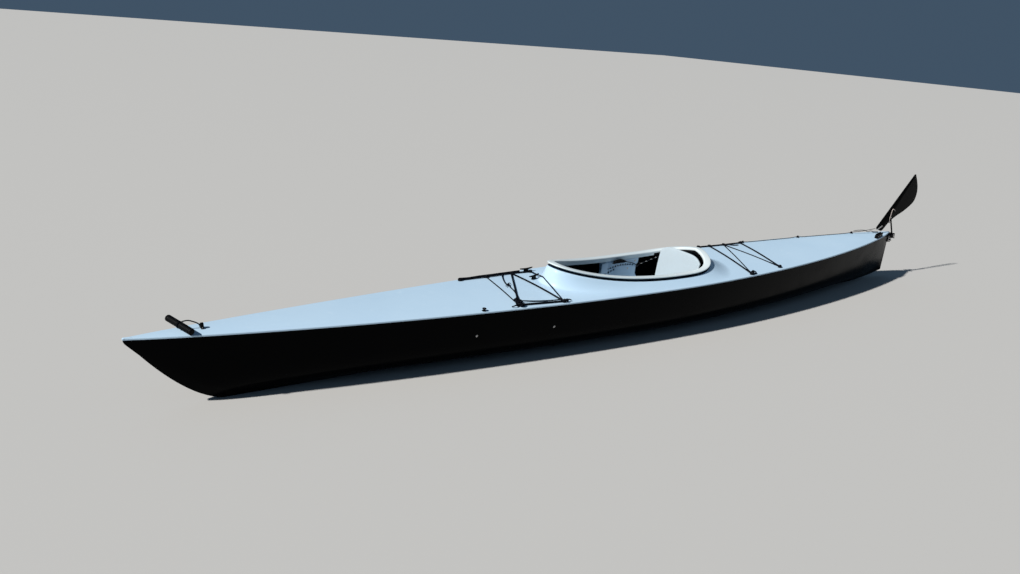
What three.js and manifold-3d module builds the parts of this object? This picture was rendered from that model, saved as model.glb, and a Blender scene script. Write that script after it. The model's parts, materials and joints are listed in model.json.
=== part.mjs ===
// A decked sea touring kayak: black hull, pale deck, open cockpit and a rudder that lifts at the stern.
// Millimetres. +X points to the bow, +Y to port and +Z up; the flat of the keel stands on z = 0.
import * as THREE from 'three';
import { mergeVertices } from 'three/addons/utils/BufferGeometryUtils.js';
import Module from 'manifold-3d';

const wasm = await Module();
wasm.setup();

// Driving dimensions of the boat. Stations are measured from the middle of its length.
const boatLength = 5200;
const beam = 608;
const bowX = boatLength / 2;
const sternX = -boatLength / 2;
const widestX = -263;
const sheerMiddle = 280;
const sheerBow = 309;
const sheerStern = 328;
const wall = 5;
const fitGap = 0.3;
const keelHalfWidth = 45;
const stemHalfWidth = 4;
const forefootX = 2230;
const skegX = -2100;
const skegRise = 45;
const stationCount = 37;

// Deck: a plate on the hull's edge, nearly flat, which rises in a cowl to the cockpit rim.
const deckPlate = 5;
const deckEdge = 8;
const deckOverhang = 2;
const crown = { rise: 8, fullFrom: 120 };
const cowl = { gap: 22, width: 80, widthAhead: 36, widthBehind: 165, edge: 8, power: 1.6, seam: 13 };

// Cockpit rim
const rim = { front: 572, back: -550, widest: -193, halfWidth: 229, lip: 40, lipThick: 6.5, riser: 7 };
const rimTop = { middle: 334, front: 409, back: 393 };
const rimSteps = 30;

// Rudder: the steering axis is upright behind the stern, the lifting axis lies athwart it.
const steerAxisX = -2632;
const liftAxis = { x: -2655, z: 307 };
const bladeThick = 7;
const bladeReach = -2862;

const colours = {
  hull: [0x08090a, 0.28, 0],
  deck: [0xcfdde8, 0.3, 0],
  rim: [0xe4eaee, 0.32, 0],
  seat: [0xaebccb, 0.45, 0],
  backrest: [0xe6e9ea, 0.5, 0],
  black: [0x0c0c0d, 0.55, 0],
  cord: [0x101114, 0.8, 0],
  foam: [0x3a3d40, 0.9, 0],
  metal: [0xa9adb0, 0.35, 1],
};

const boat = new THREE.Group();

function addMesh(name, geometry, colour, parent = boat) {
  const [color, roughness, metalness] = colours[colour];
  const mesh = new THREE.Mesh(geometry, new THREE.MeshStandardMaterial({ color, roughness, metalness }));
  mesh.name = name;
  parent.add(mesh);
  return mesh;
}

// Solids and booleans
function toSolid(geometry) {
  const bare = geometry.clone();
  bare.deleteAttribute('normal');
  bare.deleteAttribute('uv');
  const merged = mergeVertices(bare, 1e-4);
  const mesh = new wasm.Mesh({
    numProp: 3,
    vertProperties: new Float32Array(merged.attributes.position.array),
    triVerts: new Uint32Array(merged.index.array),
  });
  return new wasm.Manifold(mesh);
}

function toGeometry(solid) {
  const mesh = solid.getMesh();
  const geometry = new THREE.BufferGeometry();
  geometry.setAttribute('position', new THREE.BufferAttribute(new Float32Array(mesh.vertProperties), 3));
  geometry.setIndex(new THREE.BufferAttribute(new Uint32Array(mesh.triVerts), 1));
  geometry.computeVertexNormals();
  return geometry;
}

function joinAll(geometries) {
  let solid = toSolid(geometries[0]);
  for (const geometry of geometries.slice(1)) {
    solid = solid.add(toSolid(geometry));
  }
  return toGeometry(solid);
}

function cutFrom(geometry, cutter) {
  return toGeometry(toSolid(geometry).subtract(toSolid(cutter)));
}

// Triangles over one ring in the ring's own turning direction, or against it.
function capFaces(ring, start, against) {
  const flat = ring.map((p) => new THREE.Vector2(p.y, p.z));
  const turn = Math.sign(THREE.ShapeUtils.area(flat));
  return THREE.ShapeUtils.triangulateShape(flat, []).flatMap(([a, b, c]) => {
    const same = Math.sign(THREE.ShapeUtils.area([flat[a], flat[b], flat[c]])) === turn;
    return same !== against ? [start + a, start + b, start + c] : [start + a, start + c, start + b];
  });
}

// A closed skin over rings of points. Open skins get a flat cap on their first and last ring.
function loft(rings, { closed = false } = {}) {
  const count = rings[0].length;
  const positions = rings.flatMap((ring) => ring.flatMap((p) => [p.x, p.y, p.z]));
  const faces = [];
  const spans = closed ? rings.length : rings.length - 1;
  for (let i = 0; i < spans; i += 1) {
    const here = i * count;
    const next = ((i + 1) % rings.length) * count;
    for (let j = 0; j < count; j += 1) {
      const k = (j + 1) % count;
      faces.push(here + j, here + k, next + k, here + j, next + k, next + j);
    }
  }
  if (!closed) {
    faces.push(...capFaces(rings[0], 0, true));
    faces.push(...capFaces(rings[rings.length - 1], (rings.length - 1) * count, false));
  }
  const geometry = new THREE.BufferGeometry();
  geometry.setAttribute('position', new THREE.Float32BufferAttribute(positions, 3));
  geometry.setIndex(faces);
  return outward(geometry);
}

// Turns a closed geometry's faces so that they point out.
function outward(geometry) {
  const p = geometry.attributes.position;
  const index = geometry.index.array;
  const [a, b, c] = [new THREE.Vector3(), new THREE.Vector3(), new THREE.Vector3()];
  let volume = 0;
  for (let i = 0; i < index.length; i += 3) {
    a.fromBufferAttribute(p, index[i]);
    b.fromBufferAttribute(p, index[i + 1]);
    c.fromBufferAttribute(p, index[i + 2]);
    volume += a.dot(b.cross(c));
  }
  if (volume < 0) {
    for (let i = 0; i < index.length; i += 3) {
      [index[i + 1], index[i + 2]] = [index[i + 2], index[i + 1]];
    }
  }
  geometry.computeVertexNormals();
  return geometry;
}

// The boat's lines
function halfBeam(x) {
  const t = x > widestX ? (x - widestX) / (bowX - widestX) : (widestX - x) / (widestX - sternX);
  const [power, end] = x > widestX ? [1.655, 0.855] : [1.952, 0.817];
  return Math.max(stemHalfWidth, (beam / 2) * Math.max(0, 1 - t ** power) ** end);
}

function sheerZ(x) {
  const rise = x > 0 ? sheerBow - sheerMiddle : sheerStern - sheerMiddle;
  return sheerMiddle + rise * (x / bowX) ** 2;
}

function keelZ(x) {
  if (x > forefootX) {
    return sheerBow * ((x - forefootX) / (bowX - forefootX)) ** 1.65;
  }
  return x < skegX ? skegRise * ((skegX - x) / (skegX - sternX)) ** 2 : 0;
}

function flatDeck(x, y) {
  const across = Math.min(1, Math.abs(y) / halfBeam(x));
  const rise = crown.rise * Math.min(1, halfBeam(x) / crown.fullFrom);
  return sheerZ(x) + deckEdge + rise * (1 - across ** 2);
}

// How the cowl stands over the flat deck beside a point of the rim's outline, and how far out it reaches.
function cowlAt(p) {
  const [ahead, t] = alongRim(p.x);
  const reach = cowl.width + ((ahead ? cowl.widthAhead : cowl.widthBehind) - cowl.width) * t ** 3;
  return {
    rise: rimZ(p.x) - cowl.gap - flatDeck(p.x, p.y),
    width: Math.min(reach, halfBeam(p.x) - Math.abs(p.y) - cowl.edge),
  };
}

function cowlHeight({ rise, width }, distance) {
  return rise * (1 - THREE.MathUtils.clamp(distance / width, 0, 1)) ** cowl.power;
}

function cowlRise(x, y) {
  const nearest = { distance: Infinity };
  for (const p of fineOutline) {
    const distance = Math.hypot(p.x - x, p.y - y);
    if (distance < nearest.distance) {
      Object.assign(nearest, { distance, p });
    }
  }
  const inside = x > rim.back && x < rim.front && Math.abs(y) < rimHalfWidth(x);
  return cowlHeight(cowlAt(nearest.p), inside ? 0 : nearest.distance);
}

function deckTop(x, y) {
  return flatDeck(x, y) + cowlRise(x, y);
}

// Half of a hull section from the sheer down to the keel's flat: side, bilge curve, shallow bottom.
function halfSection(x, inset) {
  const fullness = (halfBeam(x) / (beam / 2)) ** 0.6;
  const keel = keelZ(x) + inset;
  const edge = Math.max(1, halfBeam(x) - inset);
  const depth = Math.max(2, sheerZ(x) - keel);
  const flat = Math.min(edge * 0.8, stemHalfWidth * 0.8 + (keelHalfWidth - stemHalfWidth) * fullness ** 2);
  const chineY = flat + (edge - flat) * (0.5 + 0.36 * fullness);
  const chineZ = keel + depth * (0.42 - 0.31 * fullness);
  const points = [new THREE.Vector2(edge, keel + depth)];
  const bilgeTop = new THREE.Vector2(chineY + (edge - chineY) * 0.42, chineZ + (keel + depth - chineZ) * 0.4);
  const bilgeFoot = new THREE.Vector2(flat + (chineY - flat) * 0.55, keel + (chineZ - keel) * 0.55);
  const bilge = new THREE.QuadraticBezierCurve(bilgeTop, new THREE.Vector2(chineY, chineZ), bilgeFoot);
  points.push(...bilge.getPoints(6), new THREE.Vector2(flat, keel));
  return points;
}

function stations(from, to, count) {
  return Array.from({ length: count }, (unused, i) => {
    const t = i / (count - 1);
    const eased = 0.35 * t + 0.65 * (1 - Math.cos(Math.PI * t)) / 2;
    return from + (to - from) * eased;
  });
}

// The hull's body between two stations, drawn in by inset, its top raised by lift.
function hullBody(from, to, inset, lift, count = stationCount) {
  const rings = stations(from, to, count).map((x) => {
    const half = halfSection(x, inset);
    if (lift > 0) {
      half.unshift(new THREE.Vector2(half[0].x, half[0].y + lift));
    }
    const port = half.map((p) => new THREE.Vector3(x, p.x, p.y));
    const starboard = half.map((p) => new THREE.Vector3(x, -p.x, p.y)).reverse();
    return [...port, ...starboard];
  });
  return loft(rings);
}

// Space below the deck plate, for what is trimmed to it.
function underDeck(from, to) {
  const clear = deckPlate + 2 * fitGap;
  const rings = stations(from, to, 9).map((x) => {
    const half = halfBeam(x);
    const inner = half - 3 * wall;
    const top = Array.from({ length: 15 }, (unused, j) => inner * (1 - j / 7));
    const arch = top.map((y) => new THREE.Vector3(x, y, deckTop(x, y) - clear));
    const edgeZ = sheerZ(x) - fitGap;
    const corners = [[-half, edgeZ], [-half, -10], [half, -10], [half, edgeZ]];
    return [...arch, ...corners.map(([y, z]) => new THREE.Vector3(x, y, z))];
  });
  return loft(rings);
}

// Cockpit rim: its outline in plan, and the same outline drawn in by a distance.
function alongRim(x) {
  const ahead = x > rim.widest;
  const t = ahead ? (x - rim.widest) / (rim.front - rim.widest) : (rim.widest - x) / (rim.widest - rim.back);
  return [ahead, Math.min(1, t)];
}

function rimHalfWidth(x) {
  const [ahead, t] = alongRim(x);
  const [power, end] = ahead ? [1.662, 0.433] : [3.89, 0.72];
  return rim.halfWidth * (1 - t ** power) ** end;
}

function rimZ(x) {
  const [ahead, t] = alongRim(x);
  const rise = ahead ? (rimTop.front - rimTop.middle) * t ** 2.6 : (rimTop.back - rimTop.middle) * t ** 3;
  return rimTop.middle + rise;
}

function rimOutline(steps = rimSteps) {
  const side = [];
  for (let i = 0; i <= steps; i += 1) {
    const x = rim.back + (rim.front - rim.back) * (1 + Math.cos((Math.PI * i) / steps)) / 2;
    side.push(new THREE.Vector2(x, rimHalfWidth(x)));
  }
  const back = side.slice(1, -1).reverse().map((p) => new THREE.Vector2(p.x, -p.y));
  return [...side, ...back];
}

const fineOutline = rimOutline(600);

function drawIn(outline, distance) {
  const count = outline.length;
  return outline.map((p, i) => {
    const along = outline[(i + 1) % count].clone().sub(outline[(i + count - 1) % count]).normalize();
    const way = typeof distance === 'function' ? distance(p) : distance;
    return new THREE.Vector2(p.x - along.y * way, p.y + along.x * way);
  });
}

function buildRim() {
  const outline = rimOutline();
  const riserOuter = rim.lip - rim.riser;
  const foot = cowl.gap + deckPlate;
  // Inset from the outline and drop from the rim's top: a flat lip that rolls over into the riser.
  const columns = [
    [0, rim.lipThick],
    [0, 2],
    [3, 0],
    [rim.lip / 2, 0],
    [rim.lip - 6, 4],
    [rim.lip, 14],
    [rim.lip, foot],
    [riserOuter, foot],
    [riserOuter, 15],
    [riserOuter - 7, 9],
    [rim.lip / 2, rim.lipThick],
  ];
  const insets = columns.map(([inset]) => drawIn(outline, inset));
  const rings = outline.map((p, i) => columns.map(([, drop], c) => {
    const q = insets[c][i];
    return new THREE.Vector3(q.x, q.y, rimZ(p.x) - drop);
  }));
  addMesh('coaming', loft(rings, { closed: true }), 'rim');
}

function upright(outline, low, high) {
  const shape = new THREE.Shape(outline);
  const geometry = new THREE.ExtrudeGeometry(shape, { depth: high - low, bevelEnabled: false, steps: 1 });
  return geometry.translate(0, 0, low);
}

// Hull, deck and the two foam bulkheads
function buildHull() {
  const outer = hullBody(sternX + 1, bowX - 4, 0, 0);
  const hollow = hullBody(sternX + 110, bowX - 260, wall, 40);
  addMesh('hull', cutFrom(outer, hollow), 'hull');
  for (const [name, x] of [['bulkhead_fore', 1250], ['bulkhead_aft', -760]]) {
    const slice = toSolid(hullBody(x, x + 30, wall + 4 * fitGap, 60, 4));
    addMesh(name, toGeometry(slice.intersect(toSolid(underDeck(x - 5, x + 35)))), 'foam');
  }
}

function buildDeck() {
  const tops = 14;
  const rings = stations(sternX - deckOverhang, bowX + deckOverhang, stationCount).map((station) => {
    const x = THREE.MathUtils.clamp(station, sternX + 1, bowX - 1);
    const half = halfBeam(x);
    const low = sheerZ(x) + fitGap;
    const ring = [new THREE.Vector3(station, half + deckOverhang, low)];
    for (let j = 0; j <= tops; j += 1) {
      const y = half * (1 - (2 * j) / tops);
      const spread = y * (1 + (deckOverhang / 2) / half);
      ring.push(new THREE.Vector3(station, spread, flatDeck(x, y)));
    }
    ring.push(new THREE.Vector3(station, -half - deckOverhang, low));
    const inner = Math.max(half * 0.3, half - 2 * wall);
    for (let j = 0; j <= tops; j += 1) {
      const y = -inner * (1 - (2 * j) / tops);
      ring.push(new THREE.Vector3(station, y, Math.max(low, flatDeck(x, y) - deckPlate)));
    }
    return ring;
  });
  const outline = rimOutline();
  const seam = drawIn(outline, (p) => cowl.seam - cowlAt(p).width);
  const plate = cutFrom(loft(rings), upright(seam, 200, 500));
  const hole = drawIn(outline, rim.lip - rim.riser - fitGap);
  addMesh('deck', cutFrom(joinAll([plate, buildCowl(outline)]), upright(hole, 200, 500)), 'deck');
}

// The cowl: a ring of plate round the rim, whose outer edge lies inside the flat plate.
function buildCowl(outline) {
  const shares = [0, 0.11, 0.25, 0.41, 0.6, 0.8, 1];
  const innerReach = rim.lip;
  const columns = shares.map((share) => drawIn(outline, (p) => -share * cowlAt(p).width));
  columns.unshift(drawIn(outline, innerReach));
  return loft(outline.map((p, i) => {
    const side = cowlAt(p);
    const top = columns.map((column, c) => {
      const share = c > 0 ? shares[c - 1] : 0;
      const sink = share === 1 ? 1 : 0;
      const at = c > 0 ? column[i] : p;
      const slope = c > 0 ? (side.rise * cowl.power * (1 - share) ** (cowl.power - 1)) / side.width : 0;
      const z = flatDeck(at.x, at.y) + cowlHeight(side, share * side.width) - sink;
      return [column[i], z, sink ? deckPlate - 2 : deckPlate * Math.hypot(1, slope)];
    });
    const upper = top.map(([q, z]) => new THREE.Vector3(q.x, q.y, z));
    const lower = top.map(([q, z, thick]) => new THREE.Vector3(q.x, q.y, z - thick));
    return [...upper, ...lower.reverse()];
  }), { closed: true });
}

// Seat: two cheek plates hang below the rim, with the pan between them and the backrest behind.
const cheek = { y: 187, thick: 6, front: 60, back: -240, top: 306.4, foot: 60 };
const backrest = { foot: 108, side: 350, top: 386, halfWidth: 157, thick: 10, x: -355, lean: 7 };

function buildSeat() {
  const plate = new THREE.Shape();
  plate.moveTo(cheek.front, cheek.top);
  plate.lineTo(cheek.front, 150);
  plate.quadraticCurveTo(cheek.front - 10, cheek.foot, cheek.front - 70, cheek.foot);
  plate.lineTo(cheek.back + 60, cheek.foot);
  plate.quadraticCurveTo(cheek.back, cheek.foot, cheek.back, 140);
  plate.lineTo(cheek.back, cheek.top);
  const pad = new THREE.Shape();
  const [padFront, padBack, padFoot, padTop, padRound] = [-60, -190, 112, 204, 26];
  pad.moveTo(padFront, padFoot + padRound);
  pad.lineTo(padFront, padTop - padRound);
  pad.quadraticCurveTo(padFront, padTop, padFront - padRound, padTop);
  pad.lineTo(padBack + padRound, padTop);
  pad.quadraticCurveTo(padBack, padTop, padBack, padTop - padRound);
  pad.lineTo(padBack, padFoot + padRound);
  pad.quadraticCurveTo(padBack, padFoot, padBack + padRound, padFoot);
  pad.lineTo(padFront - padRound, padFoot);
  pad.quadraticCurveTo(padFront, padFoot, padFront, padFoot + padRound);
  const padThick = 12;
  for (const [side, y] of [['port', 1], ['starboard', -1]]) {
    addMesh(`cheek_plate_${side}`, athwart(plate, y * (cheek.y + cheek.thick / 2), cheek.thick), 'seat');
    const padY = y * (cheek.y - fitGap - padThick / 2);
    addMesh(`hip_pad_${side}`, athwart(pad, padY, padThick), 'black');
  }

  const panHalf = cheek.y - fitGap;
  const panThick = 8;
  const panEnd = [backrest.x - 6, backrest.foot - 1.6];
  const run = [[60, 74], [30, 76], [-40, 44], [-240, 44], [-300, 56], panEnd];
  const pan = new THREE.Shape();
  run.forEach(([x, z], i) => (i ? pan.lineTo(x, z) : pan.moveTo(x, z)));
  [...run].reverse().forEach(([x, z]) => pan.lineTo(x, z - panThick));
  addMesh('seat_pan', athwart(pan, 0, 2 * panHalf), 'seat');

  const back = new THREE.Shape();
  const footRound = 30;
  back.moveTo(-backrest.halfWidth + footRound, 0);
  back.lineTo(backrest.halfWidth - footRound, 0);
  back.quadraticCurveTo(backrest.halfWidth, 0, backrest.halfWidth, footRound);
  back.lineTo(backrest.halfWidth, backrest.side - backrest.foot);
  back.quadraticCurveTo(backrest.halfWidth * 0.77, backrest.top - backrest.foot, 0, backrest.top - backrest.foot);
  back.quadraticCurveTo(-backrest.halfWidth * 0.77, backrest.top - backrest.foot,
    -backrest.halfWidth, backrest.side - backrest.foot);
  back.lineTo(-backrest.halfWidth, footRound);
  back.quadraticCurveTo(-backrest.halfWidth, 0, -backrest.halfWidth + footRound, 0);
  const panel = new THREE.ExtrudeGeometry(back, { depth: backrest.thick, bevelEnabled: false, curveSegments: 8 });
  panel.rotateX(Math.PI / 2);
  panel.rotateZ(-Math.PI / 2);
  panel.rotateY(THREE.MathUtils.degToRad(-backrest.lean));
  panel.translate(backrest.x, 0, backrest.foot);
  addMesh('backrest', panel, 'backrest');
}

// A shape drawn in X and Z, made thick along Y about a middle plane.
function athwart(shape, y, thick, curveSegments = 6) {
  const geometry = new THREE.ExtrudeGeometry(shape, { depth: thick, bevelEnabled: false, curveSegments });
  geometry.rotateX(Math.PI / 2);
  return geometry.translate(0, y + thick / 2, 0);
}

// Places on the deck. A piece stands a little above the plate, square to it, turned about its own upright.
const seatGap = 0.6;

function deckNormal(x, y) {
  const step = 4;
  const alongX = (deckTop(x + step, y) - deckTop(x - step, y)) / (2 * step);
  const alongY = (deckTop(x, y + step) - deckTop(x, y - step)) / (2 * step);
  return new THREE.Vector3(-alongX, -alongY, 1).normalize();
}

function onDeck(x, y, height) {
  return new THREE.Vector3(x, y, deckTop(x, y) + height);
}

function standOnDeck(mesh, x, y, turn = 0) {
  const upright = new THREE.Vector3(0, 0, 1);
  const tilt = new THREE.Quaternion().setFromUnitVectors(upright, deckNormal(x, y));
  mesh.quaternion.copy(tilt).multiply(new THREE.Quaternion().setFromAxisAngle(upright, turn));
  mesh.position.copy(onDeck(x, y, seatGap));
}

// An eight-sided tube; three.js gives a full arc two points for each curve segment.
function tube(points, radius, steps) {
  const section = new THREE.Shape();
  section.absarc(0, 0, radius, 0, 2 * Math.PI);
  const path = new THREE.CatmullRomCurve3(points, false, 'centripetal');
  return new THREE.ExtrudeGeometry(section, { steps, bevelEnabled: false, extrudePath: path, curveSegments: 4 });
}

// Deck buttons: low knobs with a neck that the shock cord is hitched round.
const button = { base: 11, baseThick: 1.2, neck: 4.5, capFoot: 9.6, cap: 10, top: 13.6 };
const hitch = { radius: 7.8, cord: 2.5, height: 5.4 };
const foreButtons = {
  port_a: [1110, 212],
  port_b: [918, 216],
  port_c: [668, 248],
  starboard_a: [985, -214],
  starboard_b: [828, -212],
  starboard_c: [662, -220],
  starboard_d: [542, -209],
};
const aftButtons = {
  port_a: [-705, 281],
  port_b: [-1000, 252],
  starboard_a: [-840, -262],
  starboard_b: [-930, -250],
  starboard_c: [-1052, -238],
  starboard_d: [-1205, -228],
};
const thickCord = 3.1;
const thinCord = 2.3;
const foreCords = [
  ['port_b', 'starboard_b', thinCord],
  ['port_b', 'starboard_c', thickCord],
  ['port_c', 'starboard_c', thickCord],
  ['port_c', 'starboard_d', thinCord],
  ['port_b', 'port_c', thickCord],
  ['starboard_a', 'starboard_b', thickCord],
  ['starboard_b', 'starboard_c', thickCord],
  ['starboard_c', 'starboard_d', thickCord],
];
const aftCords = [
  ['port_a', 'starboard_b', thickCord],
  ['port_a', 'starboard_c', thinCord],
  ['port_b', 'starboard_c', thinCord],
  ['port_b', 'starboard_d', thickCord],
  ['starboard_a', 'starboard_b', thickCord],
  ['starboard_b', 'starboard_c', thickCord],
  ['starboard_c', 'starboard_d', thickCord],
];

function buildButtons(prefix, places) {
  const profile = [
    [0, 0],
    [button.base, 0],
    [button.base, button.baseThick],
    [button.neck, button.baseThick + 0.4],
    [button.neck, button.capFoot - 0.4],
    [button.cap, button.capFoot],
    [button.cap, button.top - 2.5],
    [button.cap * 0.6, button.top],
    [0, button.top],
  ].map(([r, z]) => new THREE.Vector2(r, z));
  for (const [name, [x, y]] of Object.entries(places)) {
    const knob = new THREE.LatheGeometry(profile, 10).rotateX(Math.PI / 2);
    standOnDeck(addMesh(`${prefix}_button_${name}`, knob, 'black'), x, y);
  }
}

// One net of shock cord: a hitch round each button's neck, and cords laid over the crown between them.
function buildBungee(name, places, cords) {
  const pieces = [];
  const used = new Set(cords.flatMap(([from, to]) => [from, to]));
  for (const key of used) {
    const [x, y] = places[key];
    const ring = new THREE.TorusGeometry(hitch.radius, hitch.cord, 5, 10).translate(0, 0, hitch.height);
    const holder = new THREE.Object3D();
    standOnDeck(holder, x, y);
    holder.updateMatrix();
    pieces.push(ring.applyMatrix4(holder.matrix));
  }
  for (const [from, to, radius] of cords) {
    const [a, b] = [from, to].map((key) => new THREE.Vector2(...places[key]));
    const way = b.clone().sub(a).normalize().multiplyScalar(hitch.radius);
    const [start, end] = [a.clone().add(way), b.clone().sub(way)];
    const overCowl = [0.5, 0.6, 0.7].some((t) => cowlRise(a.x + (b.x - a.x) * t, a.y + (b.y - a.y) * t) > 0.5);
    const points = overCowl ? 28 : 10;
    const line = Array.from({ length: points }, (unused, i) => {
      const t = i / (points - 1);
      const q = start.clone().lerp(end, t);
      const low = radius + 1.6;
      const nearEnd = Math.max(0, 1 - Math.min(t, 1 - t) * (points - 1));
      const under = Math.max(...[-2, 0, 2].map((sides) => deckTop(q.x + sides * radius, q.y)));
      return new THREE.Vector3(q.x, q.y, under + low + (hitch.height + seatGap - low) * nearEnd);
    });
    pieces.push(tube(line, radius, points));
  }
  addMesh(name, joinAll(pieces), 'cord');
}

// Horn cleats
function buildCleats() {
  const horns = new THREE.Shape();
  horns.moveTo(-20, 0);
  horns.lineTo(20, 0);
  horns.lineTo(16, 11);
  horns.quadraticCurveTo(30, 13, 46, 18);
  horns.lineTo(45, 24);
  horns.quadraticCurveTo(22, 22, 0, 22);
  horns.quadraticCurveTo(-22, 22, -45, 24);
  horns.lineTo(-46, 18);
  horns.quadraticCurveTo(-30, 13, -16, 11);
  for (const [name, x, y, turn] of [['cleat_middle', 600, -98, 20], ['cleat_starboard', 556, -230, 5]]) {
    standOnDeck(addMesh(name, athwart(horns, 0, 13, 4), 'black'), x, y, THREE.MathUtils.degToRad(turn));
  }
}

// An eye whose hole runs fore and aft.
function eyeGeometry(scale, length) {
  const frame = new THREE.Shape();
  frame.moveTo(-11 * scale, 0);
  frame.lineTo(11 * scale, 0);
  frame.lineTo(11 * scale, 3 * scale);
  frame.lineTo(7 * scale, 5 * scale);
  frame.absarc(0, 8 * scale, 6.8 * scale, 0, Math.PI);
  frame.lineTo(-7 * scale, 5 * scale);
  frame.lineTo(-11 * scale, 3 * scale);
  const hole = new THREE.Path();
  hole.absarc(0, 8 * scale, 3.6 * scale, 0, 2 * Math.PI, true);
  frame.holes.push(hole);
  const geometry = new THREE.ExtrudeGeometry(frame, { depth: length, bevelEnabled: false, curveSegments: 8 });
  return geometry.rotateX(Math.PI / 2).rotateZ(Math.PI / 2).translate(-length / 2, 0, 0);
}

// Bow: an eye on the deck, a short cord and the carrying toggle that lies across the deck.
const bowEye = { x: 2312, scale: 1.5, length: 12 };
const toggle = { x: 2393, y: -6, length: 150, radius: 14, yaw: 25, tilt: 9.5 };

// The height at which the toggle's bar, leaning over the deck's port edge, just clears the deck.
function toggleHeight(along) {
  const samples = 200;
  let z = 0;
  for (let i = -samples; i <= samples; i += 1) {
    const off = along.clone().multiplyScalar(((toggle.length / 2) * i) / samples);
    const [x, y] = [toggle.x + off.x, toggle.y + off.y];
    if (Math.abs(y) < halfBeam(x) + deckOverhang) {
      z = Math.max(z, flatDeck(x, y) + seatGap - off.z + toggle.radius / Math.hypot(along.x, along.y));
    }
  }
  return z;
}

function buildBow() {
  standOnDeck(addMesh('bow_eye', eyeGeometry(bowEye.scale, bowEye.length), 'black'), bowEye.x, 0);
  const grip = new THREE.Shape();
  const [half, r, chamfer] = [toggle.length / 2, toggle.radius, 5];
  grip.moveTo(0, -half);
  grip.lineTo(r - chamfer, -half);
  grip.lineTo(r, -half + chamfer);
  grip.lineTo(r, half - chamfer);
  grip.lineTo(r - chamfer, half);
  grip.lineTo(0, half);
  const bar = addMesh('bow_toggle', new THREE.LatheGeometry(grip.getPoints(), 20), 'black');
  const [yaw, tilt] = [toggle.yaw, toggle.tilt].map(THREE.MathUtils.degToRad);
  const along = new THREE.Vector3(-Math.sin(yaw) * Math.cos(tilt), Math.cos(yaw) * Math.cos(tilt), -Math.sin(tilt));
  bar.quaternion.setFromUnitVectors(new THREE.Vector3(0, 1, 0), along);
  bar.position.set(toggle.x, toggle.y, toggleHeight(along));
  const eyeTop = deckTop(bowEye.x, 0) + 12;
  const away = new THREE.Vector3(-1, 0, 1).projectOnPlane(along).setLength(toggle.radius + 2);
  const cord = [
    [bowEye.x + bowEye.length / 2 + 0.9, 0, eyeTop],
    [2326, -1, eyeTop + 9],
    [2342, -3, eyeTop + 18],
    [2362, -6, eyeTop + 25],
  ].map(([x, y, z]) => new THREE.Vector3(x, y, z));
  cord.push(bar.position.clone().add(away));
  addMesh('bow_cord', tube(cord, 2.5, 9), 'cord');
}

// Foot braces: a rail on each side of the hull with a pedal that slides along it.
const rail = { from: 680, to: 1150, z: 150, height: 22, thick: 12 };
const pedal = { x: 870, height: 100, z: 165, reach: 84, pad: 12, slider: 60, sliderThick: 14, gap: 0.6 };

function innerWallY(x, z) {
  const half = halfSection(x, wall);
  const i = half.findIndex((p) => p.y < z);
  const [above, below] = [half[i - 1], half[i]];
  return below.x + ((above.x - below.x) * (z - below.y)) / (above.y - below.y);
}

function buildFootBraces() {
  const foot = rail.z - rail.height / 2 - 1;
  const [yBack, yFront] = [rail.from, rail.to].map((x) => innerWallY(x, foot) - 0.5);
  const length = rail.to - rail.from;
  const angle = Math.atan2(yFront - yBack, length);
  for (const [side, sign] of [['port', 1], ['starboard', -1]]) {
    const brace = new THREE.Group();
    brace.position.set((rail.from + rail.to) / 2, (sign * (yBack + yFront)) / 2, 0);
    brace.rotation.z = sign * angle;
    boat.add(brace);
    const bar = new THREE.BoxGeometry(length, rail.thick, rail.height);
    addMesh(`foot_rail_${side}`, bar.translate(0, (-sign * rail.thick) / 2, rail.z), 'metal', brace);
    const inboard = rail.thick + pedal.gap;
    const along = pedal.x - brace.position.x;
    const slider = new THREE.BoxGeometry(pedal.slider, pedal.sliderThick, rail.height + 8);
    slider.translate(along, -sign * (inboard + pedal.sliderThick / 2), rail.z);
    const pad = new THREE.BoxGeometry(pedal.pad, pedal.reach, pedal.height);
    pad.translate(along, -sign * (inboard + pedal.reach / 2), pedal.z);
    addMesh(`pedal_${side}`, joinAll([slider, pad]), 'black', brace);
  }
}

// Stern bracket, rudder head and the lifting blade, drawn in the boat's own X and Z.
const bracket = { plate: 5, halfWidth: 13, foot: 258, top: 306, lugThick: 6, lowLug: 264, highLug: 282, back: -2650 };
const steerPin = { radius: 5.5, clearance: 0.5, foot: 256, barrel: 11 };
const yoke = { foot: 289, floor: 297, top: 322, back: -2670, front: -2616, halfWidth: 15, slot: 5, floorBack: -2645 };
const blade = { eye: 12, hole: 4.6, pin: 4, arm: 10, neck: { x: -2580, z: 450 } };

function box(x0, x1, y0, y1, z0, z1) {
  const geometry = new THREE.BoxGeometry(x1 - x0, y1 - y0, z1 - z0);
  return geometry.translate((x0 + x1) / 2, (y0 + y1) / 2, (z0 + z1) / 2);
}

function post(radius, z0, z1, sides = 24) {
  const geometry = new THREE.CylinderGeometry(radius, radius, z1 - z0, sides).rotateX(Math.PI / 2);
  return geometry.translate(steerAxisX, 0, (z0 + z1) / 2);
}

function crossPin(radius, half) {
  return new THREE.CylinderGeometry(radius, radius, 2 * half, 24).translate(liftAxis.x, 0, liftAxis.z);
}

function buildBracket() {
  const face = sternX + 1 - fitGap;
  const { halfWidth, lugThick, back } = bracket;
  const plate = box(face - bracket.plate, face, -halfWidth, halfWidth, bracket.foot, bracket.top);
  const lugs = [bracket.lowLug, bracket.highLug].map((z) => box(back, face, -halfWidth, halfWidth, z, z + lugThick));
  const bore = post(steerPin.radius + steerPin.clearance, 200, 320);
  addMesh('stern_bracket', cutFrom(joinAll([plate, ...lugs]), bore), 'metal');
}

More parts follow.
